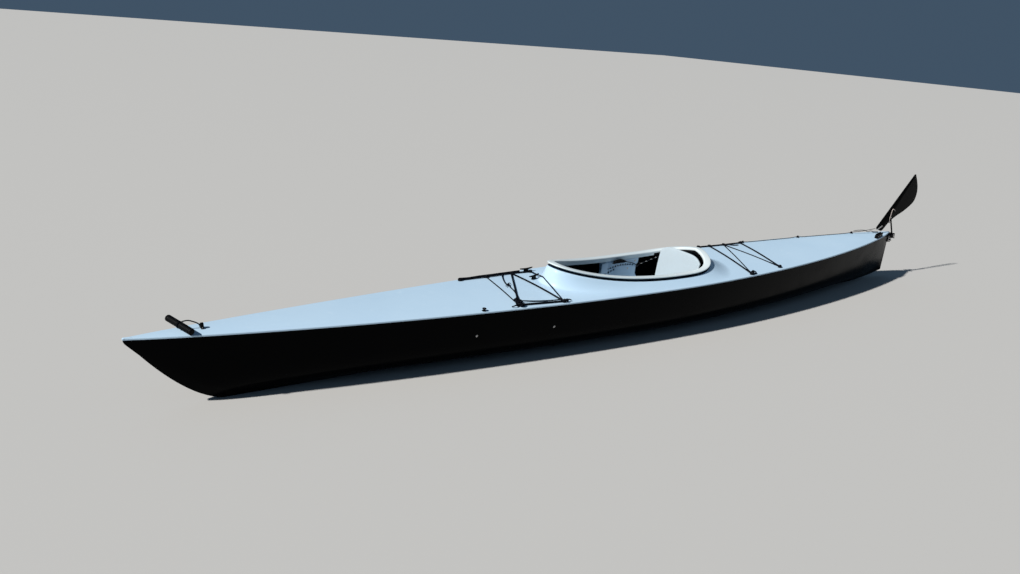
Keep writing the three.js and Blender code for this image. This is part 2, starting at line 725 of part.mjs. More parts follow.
function buildRudderHead() {
  const { halfWidth, slot, foot, floor, top, back, front, floorBack } = yoke;
  const barrelFoot = bracket.lowLug + bracket.lugThick + 1;
  const parts = [
    post(steerPin.radius, steerPin.foot, foot + 2),
    post(steerPin.barrel, barrelFoot, bracket.highLug - 1),
    post(9, steerPin.foot, bracket.lowLug - 2),
    box(floorBack, front, -halfWidth, halfWidth, foot, floor),
    box(back, front, slot, halfWidth, foot, top),
    box(back, front, -halfWidth, -slot, foot, top),
    box(-2644, -2632, -34, 34, foot, foot + 5),
    crossPin(blade.pin, halfWidth + 3),
  ];
  addMesh('rudder_head', joinAll(parts), 'black');
}

function buildRudderBlade() {
  const outline = new THREE.Shape();
  outline.moveTo(-2422, 380);
  outline.lineTo(-2778, 755);
  outline.quadraticCurveTo(-2789, 764, -2795, 748);
  outline.quadraticCurveTo(bladeReach, 664, bladeReach, 612);
  outline.quadraticCurveTo(bladeReach, 556, -2822, 532);
  outline.quadraticCurveTo(-2762, 494, -2697, 470);
  outline.quadraticCurveTo(-2612, 442, -2560, 405);
  outline.lineTo(-2508, 358);
  outline.quadraticCurveTo(-2492, 346, -2476, 352);
  outline.lineTo(-2430, 366);
  const plate = athwart(outline, 0, bladeThick, 8);
  const eye = crossPin(blade.eye, bladeThick / 2);
  const armLength = Math.hypot(blade.neck.x - liftAxis.x, blade.neck.z - liftAxis.z);
  const arm = box(0, armLength, -bladeThick / 2, bladeThick / 2, -blade.arm / 2, blade.arm / 2);
  arm.rotateY(-Math.atan2(blade.neck.z - liftAxis.z, blade.neck.x - liftAxis.x));
  arm.translate(liftAxis.x, 0, liftAxis.z);
  addMesh('rudder_blade', cutFrom(joinAll([plate, eye, arm]), crossPin(blade.hole, bladeThick)), 'black');
}

// Stern deck: a guide block on the port quarter, and the lift line along the starboard edge to the blade.
const lineRadius = 1.9;
const fairleads = [-1240, -1750, -2250];
const lineInboard = 24;
const guideBlock = { x: -2360, y: 64, turn: 15.5, half: 60, height: 28, width: 22, shoulder: 11 };

function buildSternDeck() {
  const { half, height, width, shoulder } = guideBlock;
  const block = new THREE.Shape();
  block.moveTo(-half, 0);
  block.lineTo(half, 0);
  block.lineTo(half, height - shoulder);
  block.quadraticCurveTo(half - 2, height, half - shoulder, height);
  block.lineTo(shoulder - half, height);
  block.quadraticCurveTo(2 - half, height, -half, height - shoulder);
  const turn = THREE.MathUtils.degToRad(guideBlock.turn);
  standOnDeck(addMesh('quarter_block', athwart(block, 0, width), 'black'), guideBlock.x, guideBlock.y, turn);

  const edge = (x) => -(halfBeam(x) - lineInboard);
  const eyeHeight = 8 + seatGap;
  fairleads.forEach((x, i) => {
    const slope = Math.atan2(edge(x + 10) - edge(x - 10), 20);
    standOnDeck(addMesh(`fairlead_${i + 1}`, eyeGeometry(1, 8), 'black'), x, edge(x), slope);
  });
  const route = [[-1222, eyeHeight]];
  for (const x of fairleads) {
    route.push([x, eyeHeight], [x - 60, 4], [x - 260, 3.4], [x - 440, 4]);
  }
  const line = route.filter(([x]) => x > -2260).map(([x, height]) => {
    const n = deckNormal(x, edge(x));
    return new THREE.Vector3(x, edge(x), deckTop(x, edge(x))).add(n.multiplyScalar(height));
  });
  line.push(new THREE.Vector3(-2330, -38, 352), new THREE.Vector3(-2419, -5, 370));
  addMesh('lift_line', tube(line, lineRadius, 48), 'cord');
}

// Cords that hold the backrest to the cheek plates
function buildBackrestCords() {
  for (const [side, sign] of [['port', 1], ['starboard', -1]]) {
    const [x, z] = [-388, 312];
    const ends = [
      [x + 4, sign * (backrest.halfWidth + 2.4), z],
      [-330, sign * 170, 300],
      [-262, sign * 180, 284],
      [cheek.back + 12, sign * (cheek.y - 2.4), 276],
    ].map((p) => new THREE.Vector3(...p));
    addMesh(`backrest_cord_${side}`, tube(ends, 2, 10), 'cord');
  }
}

buildHull();
buildDeck();
buildRim();
buildSeat();
buildBackrestCords();
buildFootBraces();
buildButtons('fore', foreButtons);
buildButtons('aft', aftButtons);
buildBungee('fore_bungee', foreButtons, foreCords);
buildBungee('aft_bungee', aftButtons, aftCords);
buildCleats();
buildBow();
buildBracket();
buildRudderHead();
buildRudderBlade();
buildSternDeck();

boat.position.x = -(bladeReach + bowX + deckOverhang) / 2;

export default boat;
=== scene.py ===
import json
import math
import bmesh
import bpy
from mathutils import Matrix, Quaternion, Vector
from mathutils.kdtree import KDTree


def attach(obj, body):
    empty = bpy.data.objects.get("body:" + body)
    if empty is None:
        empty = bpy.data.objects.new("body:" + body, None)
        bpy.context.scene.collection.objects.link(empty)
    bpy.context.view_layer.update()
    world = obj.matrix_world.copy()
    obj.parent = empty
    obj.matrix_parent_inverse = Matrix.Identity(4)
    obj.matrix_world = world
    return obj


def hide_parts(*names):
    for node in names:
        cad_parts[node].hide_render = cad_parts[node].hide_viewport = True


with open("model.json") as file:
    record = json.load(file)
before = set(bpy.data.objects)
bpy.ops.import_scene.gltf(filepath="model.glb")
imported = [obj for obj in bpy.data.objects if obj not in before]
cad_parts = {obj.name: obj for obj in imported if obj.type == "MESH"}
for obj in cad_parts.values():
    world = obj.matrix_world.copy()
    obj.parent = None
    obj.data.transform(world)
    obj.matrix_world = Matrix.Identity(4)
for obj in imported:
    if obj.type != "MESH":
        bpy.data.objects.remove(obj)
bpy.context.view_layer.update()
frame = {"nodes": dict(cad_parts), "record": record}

# A touring kayak on a pale studio floor. Metres; +X to the bow, +Y to port, +Z up.
# All boat measures below count from the middle of the hull, which lies this far ahead of the frame's origin.
middle = 0.130


# Camera, at the angle of the photograph
view = {"place": (3.166, 3.058, 1.548), "lens": 27.87, "sensor": 36, "pan": 144.08, "tip": 71.83, "roll": 4.89}


def aimCamera():
    data = bpy.data.cameras.new("camera")
    data.lens, data.sensor_width = view["lens"], view["sensor"]
    camera = bpy.data.objects.new("camera", data)
    pan, tip, roll = (Matrix.Rotation(math.radians(view[key]), 4, axis)
                      for key, axis in (("pan", "Z"), ("tip", "X"), ("roll", "Z")))
    camera.matrix_world = Matrix.Translation(view["place"]) @ pan @ tip @ roll
    bpy.context.scene.collection.objects.link(camera)
    bpy.context.scene.camera = camera


aimCamera()
print("camera set")


# Small helpers for numbers and points
def clamp(value, low=0.0, high=1.0):
    return max(low, min(high, value))


def blendTo(start, end, share):
    return start + (end - start) * share


def ease(share):
    share = clamp(share)
    return share * share * (3 - 2 * share)


def spread(start, end, count):
    return [blendTo(start, end, i / (count - 1)) for i in range(count)]


def bend(start, knee, end, count):
    # points of the curve that leaves start towards the knee and arrives at end
    return [(1 - t) ** 2 * start + 2 * t * (1 - t) * knee + t * t * end for t in spread(0, 1, count)]


def throughPoints(points, perSpan=8):
    # a smooth curve through all points, evenly cut between each pair
    points = [Vector(p) for p in points]
    ends = [2 * points[0] - points[1]] + points + [2 * points[-1] - points[-2]]
    curve = []
    for a, b, c, d in zip(ends, ends[1:], ends[2:], ends[3:]):
        for i in range(perSpan):
            t = i / perSpan
            curve.append(0.5 * (2 * b + (c - a) * t + (2 * a - 5 * b + 4 * c - d) * t ** 2
                                + (3 * b - a - 3 * c + d) * t ** 3))
    return curve + [points[-1]]


# The boat's lines; a taper is the power of the way out and the power of the closing
hullLines = {
    "bow": 2.600, "stern": -2.600, "widest": -0.263, "beam": 0.608, "foreTaper": (1.655, 0.855),
    "aftTaper": (1.952, 0.817), "sheerMiddle": 0.280, "sheerBow": 0.309, "sheerStern": 0.328, "stemHalf": 0.004,
    "stemCurve": 1.65, "keelFlat": 0.045, "forefoot": 2.230, "skeg": -2.100, "skegRise": 0.045,
}
deckLines = {
    "edge": 0.008, "overhang": 0.002, "plate": 0.005, "crown": 0.008, "crownFrom": 0.120, "cowlGap": 0.022,
    "cowlWidth": 0.080, "cowlAhead": 0.036, "cowlBehind": 0.165, "cowlEdge": 0.008, "cowlPower": 1.6,
}
rimLines = {
    "front": 0.572, "back": -0.550, "widest": -0.193, "halfWidth": 0.229, "foreTaper": (1.662, 0.433),
    "aftTaper": (3.89, 0.72), "topMiddle": 0.334, "topFront": 0.409, "topBack": 0.393, "foreRise": 2.6,
    "aftRise": 3, "lip": 0.040, "riser": 0.007,
}
clear = {"fitting": 0.0006, "cord": 0.0003}  # how far fittings and cords stand off the deck


def halfBeam(x):
    ahead, widest = x > hullLines["widest"], hullLines["widest"]
    power, closing = hullLines["foreTaper" if ahead else "aftTaper"]
    t = (x - widest) / (hullLines["bow" if ahead else "stern"] - widest)
    return max(hullLines["stemHalf"], hullLines["beam"] / 2 * max(0, 1 - t ** power) ** closing)


def sheerZ(x):
    end = hullLines["sheerBow"] if x > 0 else hullLines["sheerStern"]
    return hullLines["sheerMiddle"] + (end - hullLines["sheerMiddle"]) * (x / hullLines["bow"]) ** 2


def keelZ(x):
    if x > hullLines["forefoot"]:
        t = (x - hullLines["forefoot"]) / (hullLines["bow"] - hullLines["forefoot"])
        return hullLines["sheerBow"] * t ** hullLines["stemCurve"]
    if x < hullLines["skeg"]:
        t = (hullLines["skeg"] - x) / (hullLines["skeg"] - hullLines["stern"])
        return hullLines["skegRise"] * t ** 2
    return 0.0


def alongRim(x):
    # ahead of the widest place or not, and how far along from there to the rim's end
    ahead = x > rimLines["widest"]
    end = rimLines["front" if ahead else "back"]
    return ahead, clamp((x - rimLines["widest"]) / (end - rimLines["widest"]))


def rimHalfWidth(x):
    ahead, t = alongRim(x)
    power, closing = rimLines["foreTaper" if ahead else "aftTaper"]
    return rimLines["halfWidth"] * (1 - t ** power) ** closing


def rimZ(x):
    ahead, t = alongRim(x)
    top, power = (rimLines[key] for key in (("topFront", "foreRise") if ahead else ("topBack", "aftRise")))
    return rimLines["topMiddle"] + (top - rimLines["topMiddle"]) * t ** power


def rimOutline(steps):
    # plan of the rim's outer edge, from the aft end round the port side to the front and back
    half = []
    for i in range(steps + 1):
        x = blendTo(rimLines["back"], rimLines["front"], (1 - math.cos(math.pi * i / steps)) / 2)
        half.append(Vector((x, rimHalfWidth(x))))
    return half + [Vector((p.x, -p.y)) for p in reversed(half[1:-1])]


def outwardAt(outline, i):
    # square to the outline, away from the cockpit
    way = (outline[(i + 1) % len(outline)] - outline[i - 1]).normalized()
    return Vector((-way.y, way.x))


fineRim = rimOutline(700)
rimTree = KDTree(len(fineRim))
for index, point in enumerate(fineRim):
    rimTree.insert((point.x, point.y, 0), index)
rimTree.balance()


def flatDeck(x, y):
    half = halfBeam(x)
    across = min(1, abs(y) / half)
    crown = deckLines["crown"] * min(1, half / deckLines["crownFrom"])
    return sheerZ(x) + deckLines["edge"] + crown * (1 - across ** 2)


def insideRim(x, y):
    return rimLines["back"] < x < rimLines["front"] and abs(y) < rimHalfWidth(x)


def cowlRise(x, y):
    # how far the deck swells up to the cockpit rim
    if x > rimLines["front"] + deckLines["cowlWidth"] or x < rimLines["back"] - deckLines["cowlBehind"]:
        return 0.0
    _, nearest, distance = rimTree.find((x, y, 0))
    near = fineRim[nearest]
    rise = rimZ(near.x) - deckLines["cowlGap"] - flatDeck(near.x, near.y)
    ahead, t = alongRim(near.x)
    reach = blendTo(deckLines["cowlWidth"], deckLines["cowlAhead" if ahead else "cowlBehind"], t ** 3)
    width = min(reach, halfBeam(near.x) - abs(near.y) - deckLines["cowlEdge"])
    out = 0 if insideRim(x, y) else clamp(distance / width)
    return rise * (1 - out) ** deckLines["cowlPower"]


def deckTop(x, y):
    return flatDeck(x, y) + cowlRise(x, y)


def deckNormal(x, y):
    step = 0.004
    slopeX = (deckTop(x + step, y) - deckTop(x - step, y)) / (2 * step)
    slopeY = (deckTop(x, y + step) - deckTop(x, y - step)) / (2 * step)
    return Vector((-slopeX, -slopeY, 1)).normalized()


def onDeck(x, y, height=0.0):
    return Vector((x, y, deckTop(x, y) + height))


def standing(x, y, turn=0.0, height=clear["fitting"]):
    # a place on the deck: upright along the deck's own normal, turned about it
    tilt = Vector((0, 0, 1)).rotation_difference(deckNormal(x, y))
    turned = tilt @ Quaternion((0, 0, 1), math.radians(turn))
    return Matrix.Translation(onDeck(x, y, height)) @ turned.to_matrix().to_4x4()


# Outlines of flat parts, and how they stand
def softened(corners, steps=5):
    # an outline with its corners rounded off; each corner is (x, y, reach of the rounding)
    points = []
    for i, (x, y, reach) in enumerate(corners):
        here = Vector((x, y))
        before, after = Vector(corners[i - 1][:2]), Vector(corners[(i + 1) % len(corners)][:2])
        if not reach:
            points.append(here)
            continue
        start = here + (before - here).normalized() * reach
        end = here + (after - here).normalized() * reach
        points += bend(start, here, end, steps)
    return points


def circle(radius, count=24, center=(0.0, 0.0)):
    return [Vector((center[0] + radius * math.cos(a), center[1] + radius * math.sin(a)))
            for a in (2 * math.pi * i / count for i in range(count))]


def drawnIn(outline, distance):
    # the outline moved towards its inside, square to itself
    area = sum(a.x * b.y - b.x * a.y for a, b in zip(outline, outline[1:] + outline[:1]))
    side = 1 if area > 0 else -1
    moved = []
    for i, here in enumerate(outline):
        way = (outline[(i + 1) % len(outline)] - outline[i - 1]).normalized()
        moved.append(here + Vector((-way.y, way.x)) * side * distance)
    return moved


def athwart(y=0.0):
    # drawn in X and Z, thick along Y
    return Matrix.Translation((0, y, 0)) @ Matrix.Rotation(math.pi / 2, 4, "X")


def pointing(start, end):
    # local Z runs from start to end
    start, end = Vector(start), Vector(end)
    return Matrix.Translation(start) @ (end - start).to_track_quat("Z", "Y").to_matrix().to_4x4()


def domed(radius, height, foot=0.0):
    # profile of a low round head
    return [(0, foot), (radius, foot)] + [(radius * math.cos(a), foot + height * (0.3 + 0.7 * math.sin(a)))
                                          for a in spread(0, math.pi / 2, 6)]


def taut(start, end, radius, count=56):
    # a taut cord: straight, or resting on whatever stands highest between its ends
    start, end = Vector(start), Vector(end)
    samples = [start.lerp(end, t) for t in spread(0, 1, count)]
    heights = [max(deckTop(p.x + dx, p.y) for dx in (-radius, 0, radius)) + radius + clear["cord"]
               for p in samples]
    heights[0], heights[-1] = start.z, end.z
    chain = [0]
    for i in range(1, count):
        while len(chain) > 1:
            a, b = chain[-2], chain[-1]
            if (heights[b] - heights[a]) * (i - a) > (heights[i] - heights[a]) * (b - a):
                break
            chain.pop()
        chain.append(i)
    for a, b in zip(chain, chain[1:]):
        for i in range(a, b + 1):
            samples[i].z = blendTo(heights[a], heights[b], (i - a) / (b - a))
    return samples


def knotPath(size, place, count=40):
    # an overhand knot drawn tight
    turns = (2 * math.pi * i / count for i in range(count))
    loops = [Vector((math.sin(a) + 2 * math.sin(2 * a), math.cos(a) - 2 * math.cos(2 * a),
                     1.1 - 1.1 * math.sin(3 * a))) for a in turns]
    return [place @ (p * size) for p in loops]


# A form gathers the faces of one piece
class Form:
    def __init__(self):
        self.points, self.faces, self.wraps = [], [], []

    def add(self, points, faces, wraps=None, place=None):
        start = len(self.points)
        self.points += [place @ Vector(p) if place else Vector(p) for p in points]
        self.faces += [[start + i for i in face] for face in faces]
        self.wraps += wraps or [[(0.0, 0.0)] * len(face) for face in faces]
        return self

    def loft(self, rings, loop=False, closed=True, caps=True, place=None):
        # skin over rings with the same number of points; u runs round a ring, v in metres along the rings
        count, total = len(rings[0]), len(rings)
        points = [p for ring in rings for p in ring]
        lengths = [0.0]
        for a, b in zip(rings, rings[1:] + rings[:1]):
            lengths.append(lengths[-1] + (Vector(b[0]) - Vector(a[0])).length)
        faces, wraps = [], []
        for i in range(total if loop else total - 1):
            for j in range(count if closed else count - 1):
                k, n = (j + 1) % count, (i + 1) % total
                faces.append([i * count + j, i * count + k, n * count + k, n * count + j])
                u, w = j / count, (j + 1) / count
                wraps.append([(u, lengths[i]), (w, lengths[i]), (w, lengths[i + 1]), (u, lengths[i + 1])])
        if caps and closed and not loop:
            for first, ring in ((0, rings[0]), ((total - 1) * count, rings[-1])):
                points.append(sum((Vector(p) for p in ring), Vector()) / count)
                for j in range(count):
                    faces.append([first + j, first + (j + 1) % count, len(points) - 1])
                    wraps.append([(0.0, 0.0)] * 3)
        return self.add(points, faces, wraps, place)

    def lathe(self, profile, sides=32, place=None):
        # profile of (radius, height) turned about local Z
        rings = [[(r * math.cos(2 * math.pi * j / sides), r * math.sin(2 * math.pi * j / sides), z)
                  for j in range(sides)] for r, z in profile]
        return self.loft(rings, place=place)

    def tube(self, path, radius, sides=12, loop=False, place=None):
        # a round cord along a path; radius is one number, or one for each point
        path = [Vector(p) for p in path]
        radii = radius if isinstance(radius, list) else [radius] * len(path)
        rings, side = [], None
        for i, here in enumerate(path):
            before = path[i - 1] if i or loop else here
            after = path[(i + 1) % len(path)] if i + 1 < len(path) or loop else here
            way = (after - before).normalized()
            if side is None:
                side = way.orthogonal().normalized()
            side = (side - way * side.dot(way)).normalized()
            other = way.cross(side)
            rings.append([here + radii[i] * (math.cos(a) * side + math.sin(a) * other)
                          for a in (2 * math.pi * j / sides for j in range(sides))])
        return self.loft(rings, loop=loop, place=place)

    def slab(self, outline, thick, edge, place=None):
        # a flat part, as thick on both sides of local Z = 0, with its edges rounded off
        half, soft = thick / 2, edge * 0.3
        rows = [(edge, -half), (soft, soft - half), (0, edge - half), (0, half - edge), (soft, half - soft),
                (edge, half)]
        rings = [[(p.x, p.y, z) for p in drawnIn(outline, inset)] for inset, z in rows]
        self.loft(rings, caps=False, place=place)
        for ring in (rings[0], rings[-1]):
            self.add(ring, [list(range(len(ring)))], place=place)
        return self

    def mesh(self, name, sharp=35, weld=0.0):
        mesh = bpy.data.meshes.new(name)
        mesh.from_pydata([(p.x + middle, p.y, p.z) for p in self.points], [], self.faces)
        flat = [value for wrap in self.wraps for pair in wrap for value in pair]
        mesh.uv_layers.new(name="wrap").data.foreach_set("uv", flat)
        work = bmesh.new()
        work.from_mesh(mesh)
        if weld:
            bmesh.ops.remove_doubles(work, verts=work.verts, dist=weld)
        bmesh.ops.recalc_face_normals(work, faces=work.faces)
        work.to_mesh(mesh)
        work.free()
        mesh.shade_smooth()
        mesh.set_sharp_from_angle(angle=math.radians(sharp))
        return mesh


touching = 0.00001                                                  # welds corners that coincide


def place(name, form, finish, sharp=35, weld=0.0, body="boat", replaced=()):
    # form is a Form, or a mesh that is made already
    mesh = form.mesh(name, sharp, weld) if isinstance(form, Form) else form
    mesh.materials.append(finishes[finish])
    piece = bpy.data.objects.new(name, mesh)
    bpy.context.scene.collection.objects.link(piece)
    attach(piece, body)
    if replaced:
        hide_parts(*replaced)
    return piece


def applyModifiers(piece):
    bpy.context.view_layer.update()
    done = bpy.data.meshes.new_from_object(piece.evaluated_get(bpy.context.evaluated_depsgraph_get()))
    piece.modifiers.clear()
    piece.data = done


def cutWith(piece, form):
    tool = bpy.data.objects.new("cutter", form.mesh("cutter", weld=touching))
    bpy.context.scene.collection.objects.link(tool)
    cut = piece.modifiers.new("cut", "BOOLEAN")
    cut.operation, cut.solver, cut.use_self, cut.object = "DIFFERENCE", "EXACT", True, tool
    applyModifiers(piece)
    bpy.data.objects.remove(tool)
    piece.data.set_sharp_from_angle(angle=math.radians(30))


# Materials: shader maths as plain expressions
class Wire:
    def __init__(self, paint, socket):
        self.paint, self.socket = paint, socket

    def sum(self, operation, first, second):
        return self.paint.node("ShaderNodeMath", {"operation": operation}, {0: first, 1: second})

    def __add__(self, other):
        return self.sum("ADD", self, other)

    def __radd__(self, other):
        return self.sum("ADD", other, self)

    def __sub__(self, other):
        return self.sum("SUBTRACT", self, other)

    def __rsub__(self, other):
        return self.sum("SUBTRACT", other, self)

    def __mul__(self, other):
        return self.sum("MULTIPLY", self, other)

    def __rmul__(self, other):
        return self.sum("MULTIPLY", other, self)

    def above(self, limit):
        return self.sum("GREATER_THAN", self, limit)

    def atLeast(self, other):
        return self.sum("MAXIMUM", self, other)

    def sine(self):
        return self.paint.node("ShaderNodeMath", {"operation": "SINE"}, {0: self})

    def step(self, low, high):
        # 0 below low, 1 above high, smooth between
        return self.paint.node("ShaderNodeMapRange", {"interpolation_type": "SMOOTHSTEP"},
                               {"Value": self, "From Min": low, "From Max": high})


class Paint:
    def __init__(self, name, color, roughness, **fixed):
        self.material = bpy.data.materials.new(name)
        self.material.use_nodes = True
        self.tree = self.material.node_tree
        self.shader = self.tree.nodes["Principled BSDF"]
        self.shader.inputs["Base Color"].default_value = (*color, 1)
        self.shader.inputs["Roughness"].default_value = roughness
        for key, value in fixed.items():
            socket = {"metallic": "Metallic", "specular": "Specular IOR Level", "sheen": "Sheen Weight"}[key]
            self.shader.inputs[socket].default_value = value
        self.material.diffuse_color = (*color, 1)

    def node(self, kind, settings=None, values=None, output=0):
        made = self.tree.nodes.new(kind)
        for key, value in (settings or {}).items():
            setattr(made, key, value)
        for key, value in (values or {}).items():
            if isinstance(value, Wire):
                self.tree.links.new(value.socket, made.inputs[key])
            else:
                made.inputs[key].default_value = value
        return Wire(self, made.outputs[output])

    def place(self):
        return self.node("ShaderNodeTexCoord", output="Object")

    def stretched(self, scale, turn=(0, 0, 0)):
        return self.node("ShaderNodeMapping", {}, {"Vector": self.place(), "Scale": scale, "Rotation": turn})

    def wrap(self):
        # u runs round a cord, v along it in metres
        ends = self.node("ShaderNodeUVMap", {"uv_map": "wrap"})
        split = self.node("ShaderNodeSeparateXYZ", {}, {0: ends})
        return split, Wire(self, split.socket.node.outputs[1])

    def height(self):
        split = self.node("ShaderNodeSeparateXYZ", {}, {0: self.place()})
        return Wire(self, split.socket.node.outputs[2])

    def grain(self, scale, detail=3.0, rough=0.5, vector=None):
        return self.node("ShaderNodeTexNoise", {}, {"Vector": vector or self.place(), "Scale": scale,
                                                     "Detail": detail, "Roughness": rough})

    def cells(self, scale, feature="F1"):
        return self.node("ShaderNodeTexVoronoi", {"feature": feature}, {"Vector": self.place(), "Scale": scale})

    def mixed(self, share, first, second):
        made = self.node("ShaderNodeMix", {"data_type": "RGBA"}, output=2)
        inputs = made.socket.node.inputs
        for socket, value in ((inputs[0], share), (inputs[6], first), (inputs[7], second)):
            if isinstance(value, Wire):
                self.tree.links.new(value.socket, socket)
            else:
                socket.default_value = value if socket == inputs[0] else (*value, 1)
        return made

    def set(self, **links):
        names = {"color": "Base Color", "roughness": "Roughness", "normal": "Normal"}
        for key, wire in links.items():
            self.tree.links.new(wire.socket, self.shader.inputs[names[key]])
        return self

    def bumped(self, height, distance, strength=1.0):
        bump = self.node("ShaderNodeBump", {}, {"Height": height, "Distance": distance, "Strength": strength})
        return self.set(normal=bump)


def glossHull():
    # black gelcoat: faint orange peel, fine scratches low down, sand dust along the keel
    color = {"gelcoat": (0.0012, 0.0013, 0.0016), "dust": (0.014, 0.013, 0.011),
             "scratch": (0.005, 0.005, 0.0055)}
    paint = Paint("hull_gelcoat", color["gelcoat"], 0.24, specular=0.02)
    height = paint.height()
    low = 1 - height.step(0.0, 0.075)
    cloud = paint.grain(26, 5, 0.6).step(0.46, 0.72)
    fine = paint.grain(420, 2, 0.5).step(0.50, 0.62)
    dust = low * cloud * (0.35 + fine * 0.65)
    scratches = paint.grain(1, 2, 0.4, paint.stretched((1.6, 240, 240), (0, 0.03, 0)))
    scratched = scratches.step(0.655, 0.70) * (1 - height.step(0.03, 0.17)) * 0.6
    tinted = paint.mixed(dust * 0.75, paint.mixed(scratched, color["gelcoat"], color["scratch"]), color["dust"])
    smear = paint.grain(7, 3, 0.5).step(0.35, 0.75)
    paint.set(color=tinted, roughness=0.20 + smear * 0.10 + dust * 0.45 + scratched * 0.2)
    return paint.bumped(paint.grain(55, 1, 0.3) * 0.35 + dust * 0.6, 0.0006, 0.35).material


def deckGelcoat():
    # pale gelcoat with dried salt, a little sand and fine wear; the blue tint of its colours is painted sky light
    color = {"gelcoat": (0.49, 0.665, 0.825), "pale": (0.54, 0.71, 0.855), "salt": (0.66, 0.78, 0.88),
             "sand": (0.34, 0.30, 0.25)}
    paint = Paint("deck_gelcoat", color["gelcoat"], 0.34, specular=0.16)
    cloud = paint.grain(3.2, 4, 0.55)
    salt = paint.grain(38, 5, 0.65).step(0.56, 0.78) * 0.30
    specks = (1 - paint.cells(230).step(0.10, 0.17)) * paint.grain(5, 2, 0.5).step(0.52, 0.68)
    plain = paint.mixed(cloud, color["gelcoat"], color["pale"])
    tinted = paint.mixed(specks * 0.55, paint.mixed(salt, plain, color["salt"]), color["sand"])
    paint.set(color=tinted, roughness=0.31 + salt * 0.6 + cloud * 0.08)
    return paint.bumped(paint.grain(42, 1, 0.3) * 0.4 + salt * 0.15, 0.0006, 0.25).material


def rimGelcoat():
    # white gelcoat, rubbed where hands and spray deck pass
    color = {"white": (0.67, 0.77, 0.81), "rubbed": (0.55, 0.62, 0.66), "warm": (0.72, 0.79, 0.80)}
    paint = Paint("rim_gelcoat", color["white"], 0.30, specular=0.30)
    cloud = paint.grain(9, 4, 0.6)
    rubbed = paint.grain(70, 4, 0.7).step(0.60, 0.80)
    tinted = paint.mixed(rubbed * 0.55, paint.mixed(cloud, color["white"], color["warm"]), color["rubbed"])
    paint.set(color=tinted, roughness=0.26 + rubbed * 0.3)
    return paint.bumped(paint.grain(60, 1, 0.3) * 0.5 + rubbed * 0.2, 0.0005, 0.3).material


def mouldedSeat(name, base, worn, roughness=0.42):
    # moulded shell with a fine leather-like grain and scuffs
    paint = Paint(name, base, roughness, specular=0.4)
    grain = paint.cells(560, "DISTANCE_TO_EDGE").step(0.0, 0.12)
    cloud = paint.grain(14, 4, 0.6)
    scuffs = paint.grain(1, 3, 0.5, paint.stretched((60, 60, 14))).step(0.62, 0.74)
    paint.set(color=paint.mixed(scuffs * 0.4, paint.mixed(cloud * 0.5, base, worn), worn),
              roughness=roughness + scuffs * 0.15 - grain * 0.06)
    return paint.bumped(grain * 0.5 + cloud * 0.1, 0.0004, 0.4).material


def closedFoam(name, base, pale, scale):
    # closed-cell foam: small cells, pale dust in the open ones
    paint = Paint(name, base, 0.9, specular=0.25, sheen=0.08)
    cells = paint.cells(scale)
    fine = paint.grain(scale * 2.2, 3, 0.6)
    tinted = paint.mixed(cells.step(0.25, 0.7) * 0.5 + fine * 0.3, base, pale)
    paint.set(color=tinted, roughness=0.82 + fine * 0.14)
    return paint.bumped(cells + fine * 0.5, 0.0007, 0.5).material


def mouldedBlack(name, base=(0.0034, 0.0036, 0.0042), worn=(0.012, 0.012, 0.013), roughness=0.52):
    # glass-filled nylon: spark-eroded texture, edges and tops greyed by use, a trace of salt
    paint = Paint(name, base, roughness, specular=0.06)
    texture = paint.grain(1500, 2, 0.5)
    cloud = paint.grain(45, 4, 0.6)
    rub = paint.grain(160, 5, 0.7).step(0.60, 0.78)
    paint.set(color=paint.mixed(rub * 0.6 + cloud * 0.15, base, worn),
              roughness=roughness - 0.04 + rub * 0.22 + cloud * 0.08)
    return paint.bumped(texture * 0.7 + rub * 0.4, 0.00025, 0.45).material


def braided(name, base, fleck, turns=10, pitch=0.011, flecks=0.0, roughness=0.72):
    # a braided sheath: two sets of strands that cross, with fibres along each
    paint = Paint(name, base, roughness, specular=0.03)
    round, along = paint.wrap()
    fullTurn = 2 * math.pi
    rightHand = ((round * turns + along * (1 / pitch)) * fullTurn).sine()
    leftHand = ((round * turns - along * (1 / pitch)) * fullTurn).sine()
    weave = rightHand.atLeast(leftHand)
    over = rightHand.above(leftHand)
    strand = weave.step(-0.1, 0.9)
    cloud = paint.grain(300, 3, 0.6)
    if flecks:                                            # every fifth strand of one hand is a bright one
        bright = ((round * turns - along * (1 / pitch)) * (fullTurn / 5)).sine().step(0.72, 0.95)
        tracer = bright * (1 - over) * flecks
    else:
        tracer = cloud * 0.2 * 0.5
    strands = paint.mixed(strand * 0.55 + cloud * 0.2, tuple(c * 0.45 for c in base), base)
    paint.set(color=paint.mixed(tracer, strands, fleck), roughness=roughness + cloud * 0.12)
    return paint.bumped(strand + cloud * 0.2, 0.0005, 0.7).material


def brushedMetal(name, base, dull, along, roughness=0.34):
    # brushed sheet with dull salt stains
    paint = Paint(name, base, roughness, metallic=1.0)
    lines = paint.grain(1, 2, 0.6, paint.stretched(along))
    stains = paint.grain(55, 5, 0.65).step(0.55, 0.75)
    tinted = paint.mixed(stains * 0.6 + lines * 0.2, base, dull)
    paint.set(color=tinted, roughness=roughness + lines * 0.12 + stains * 0.2)
    return paint.bumped(lines, 0.00012, 0.5).material


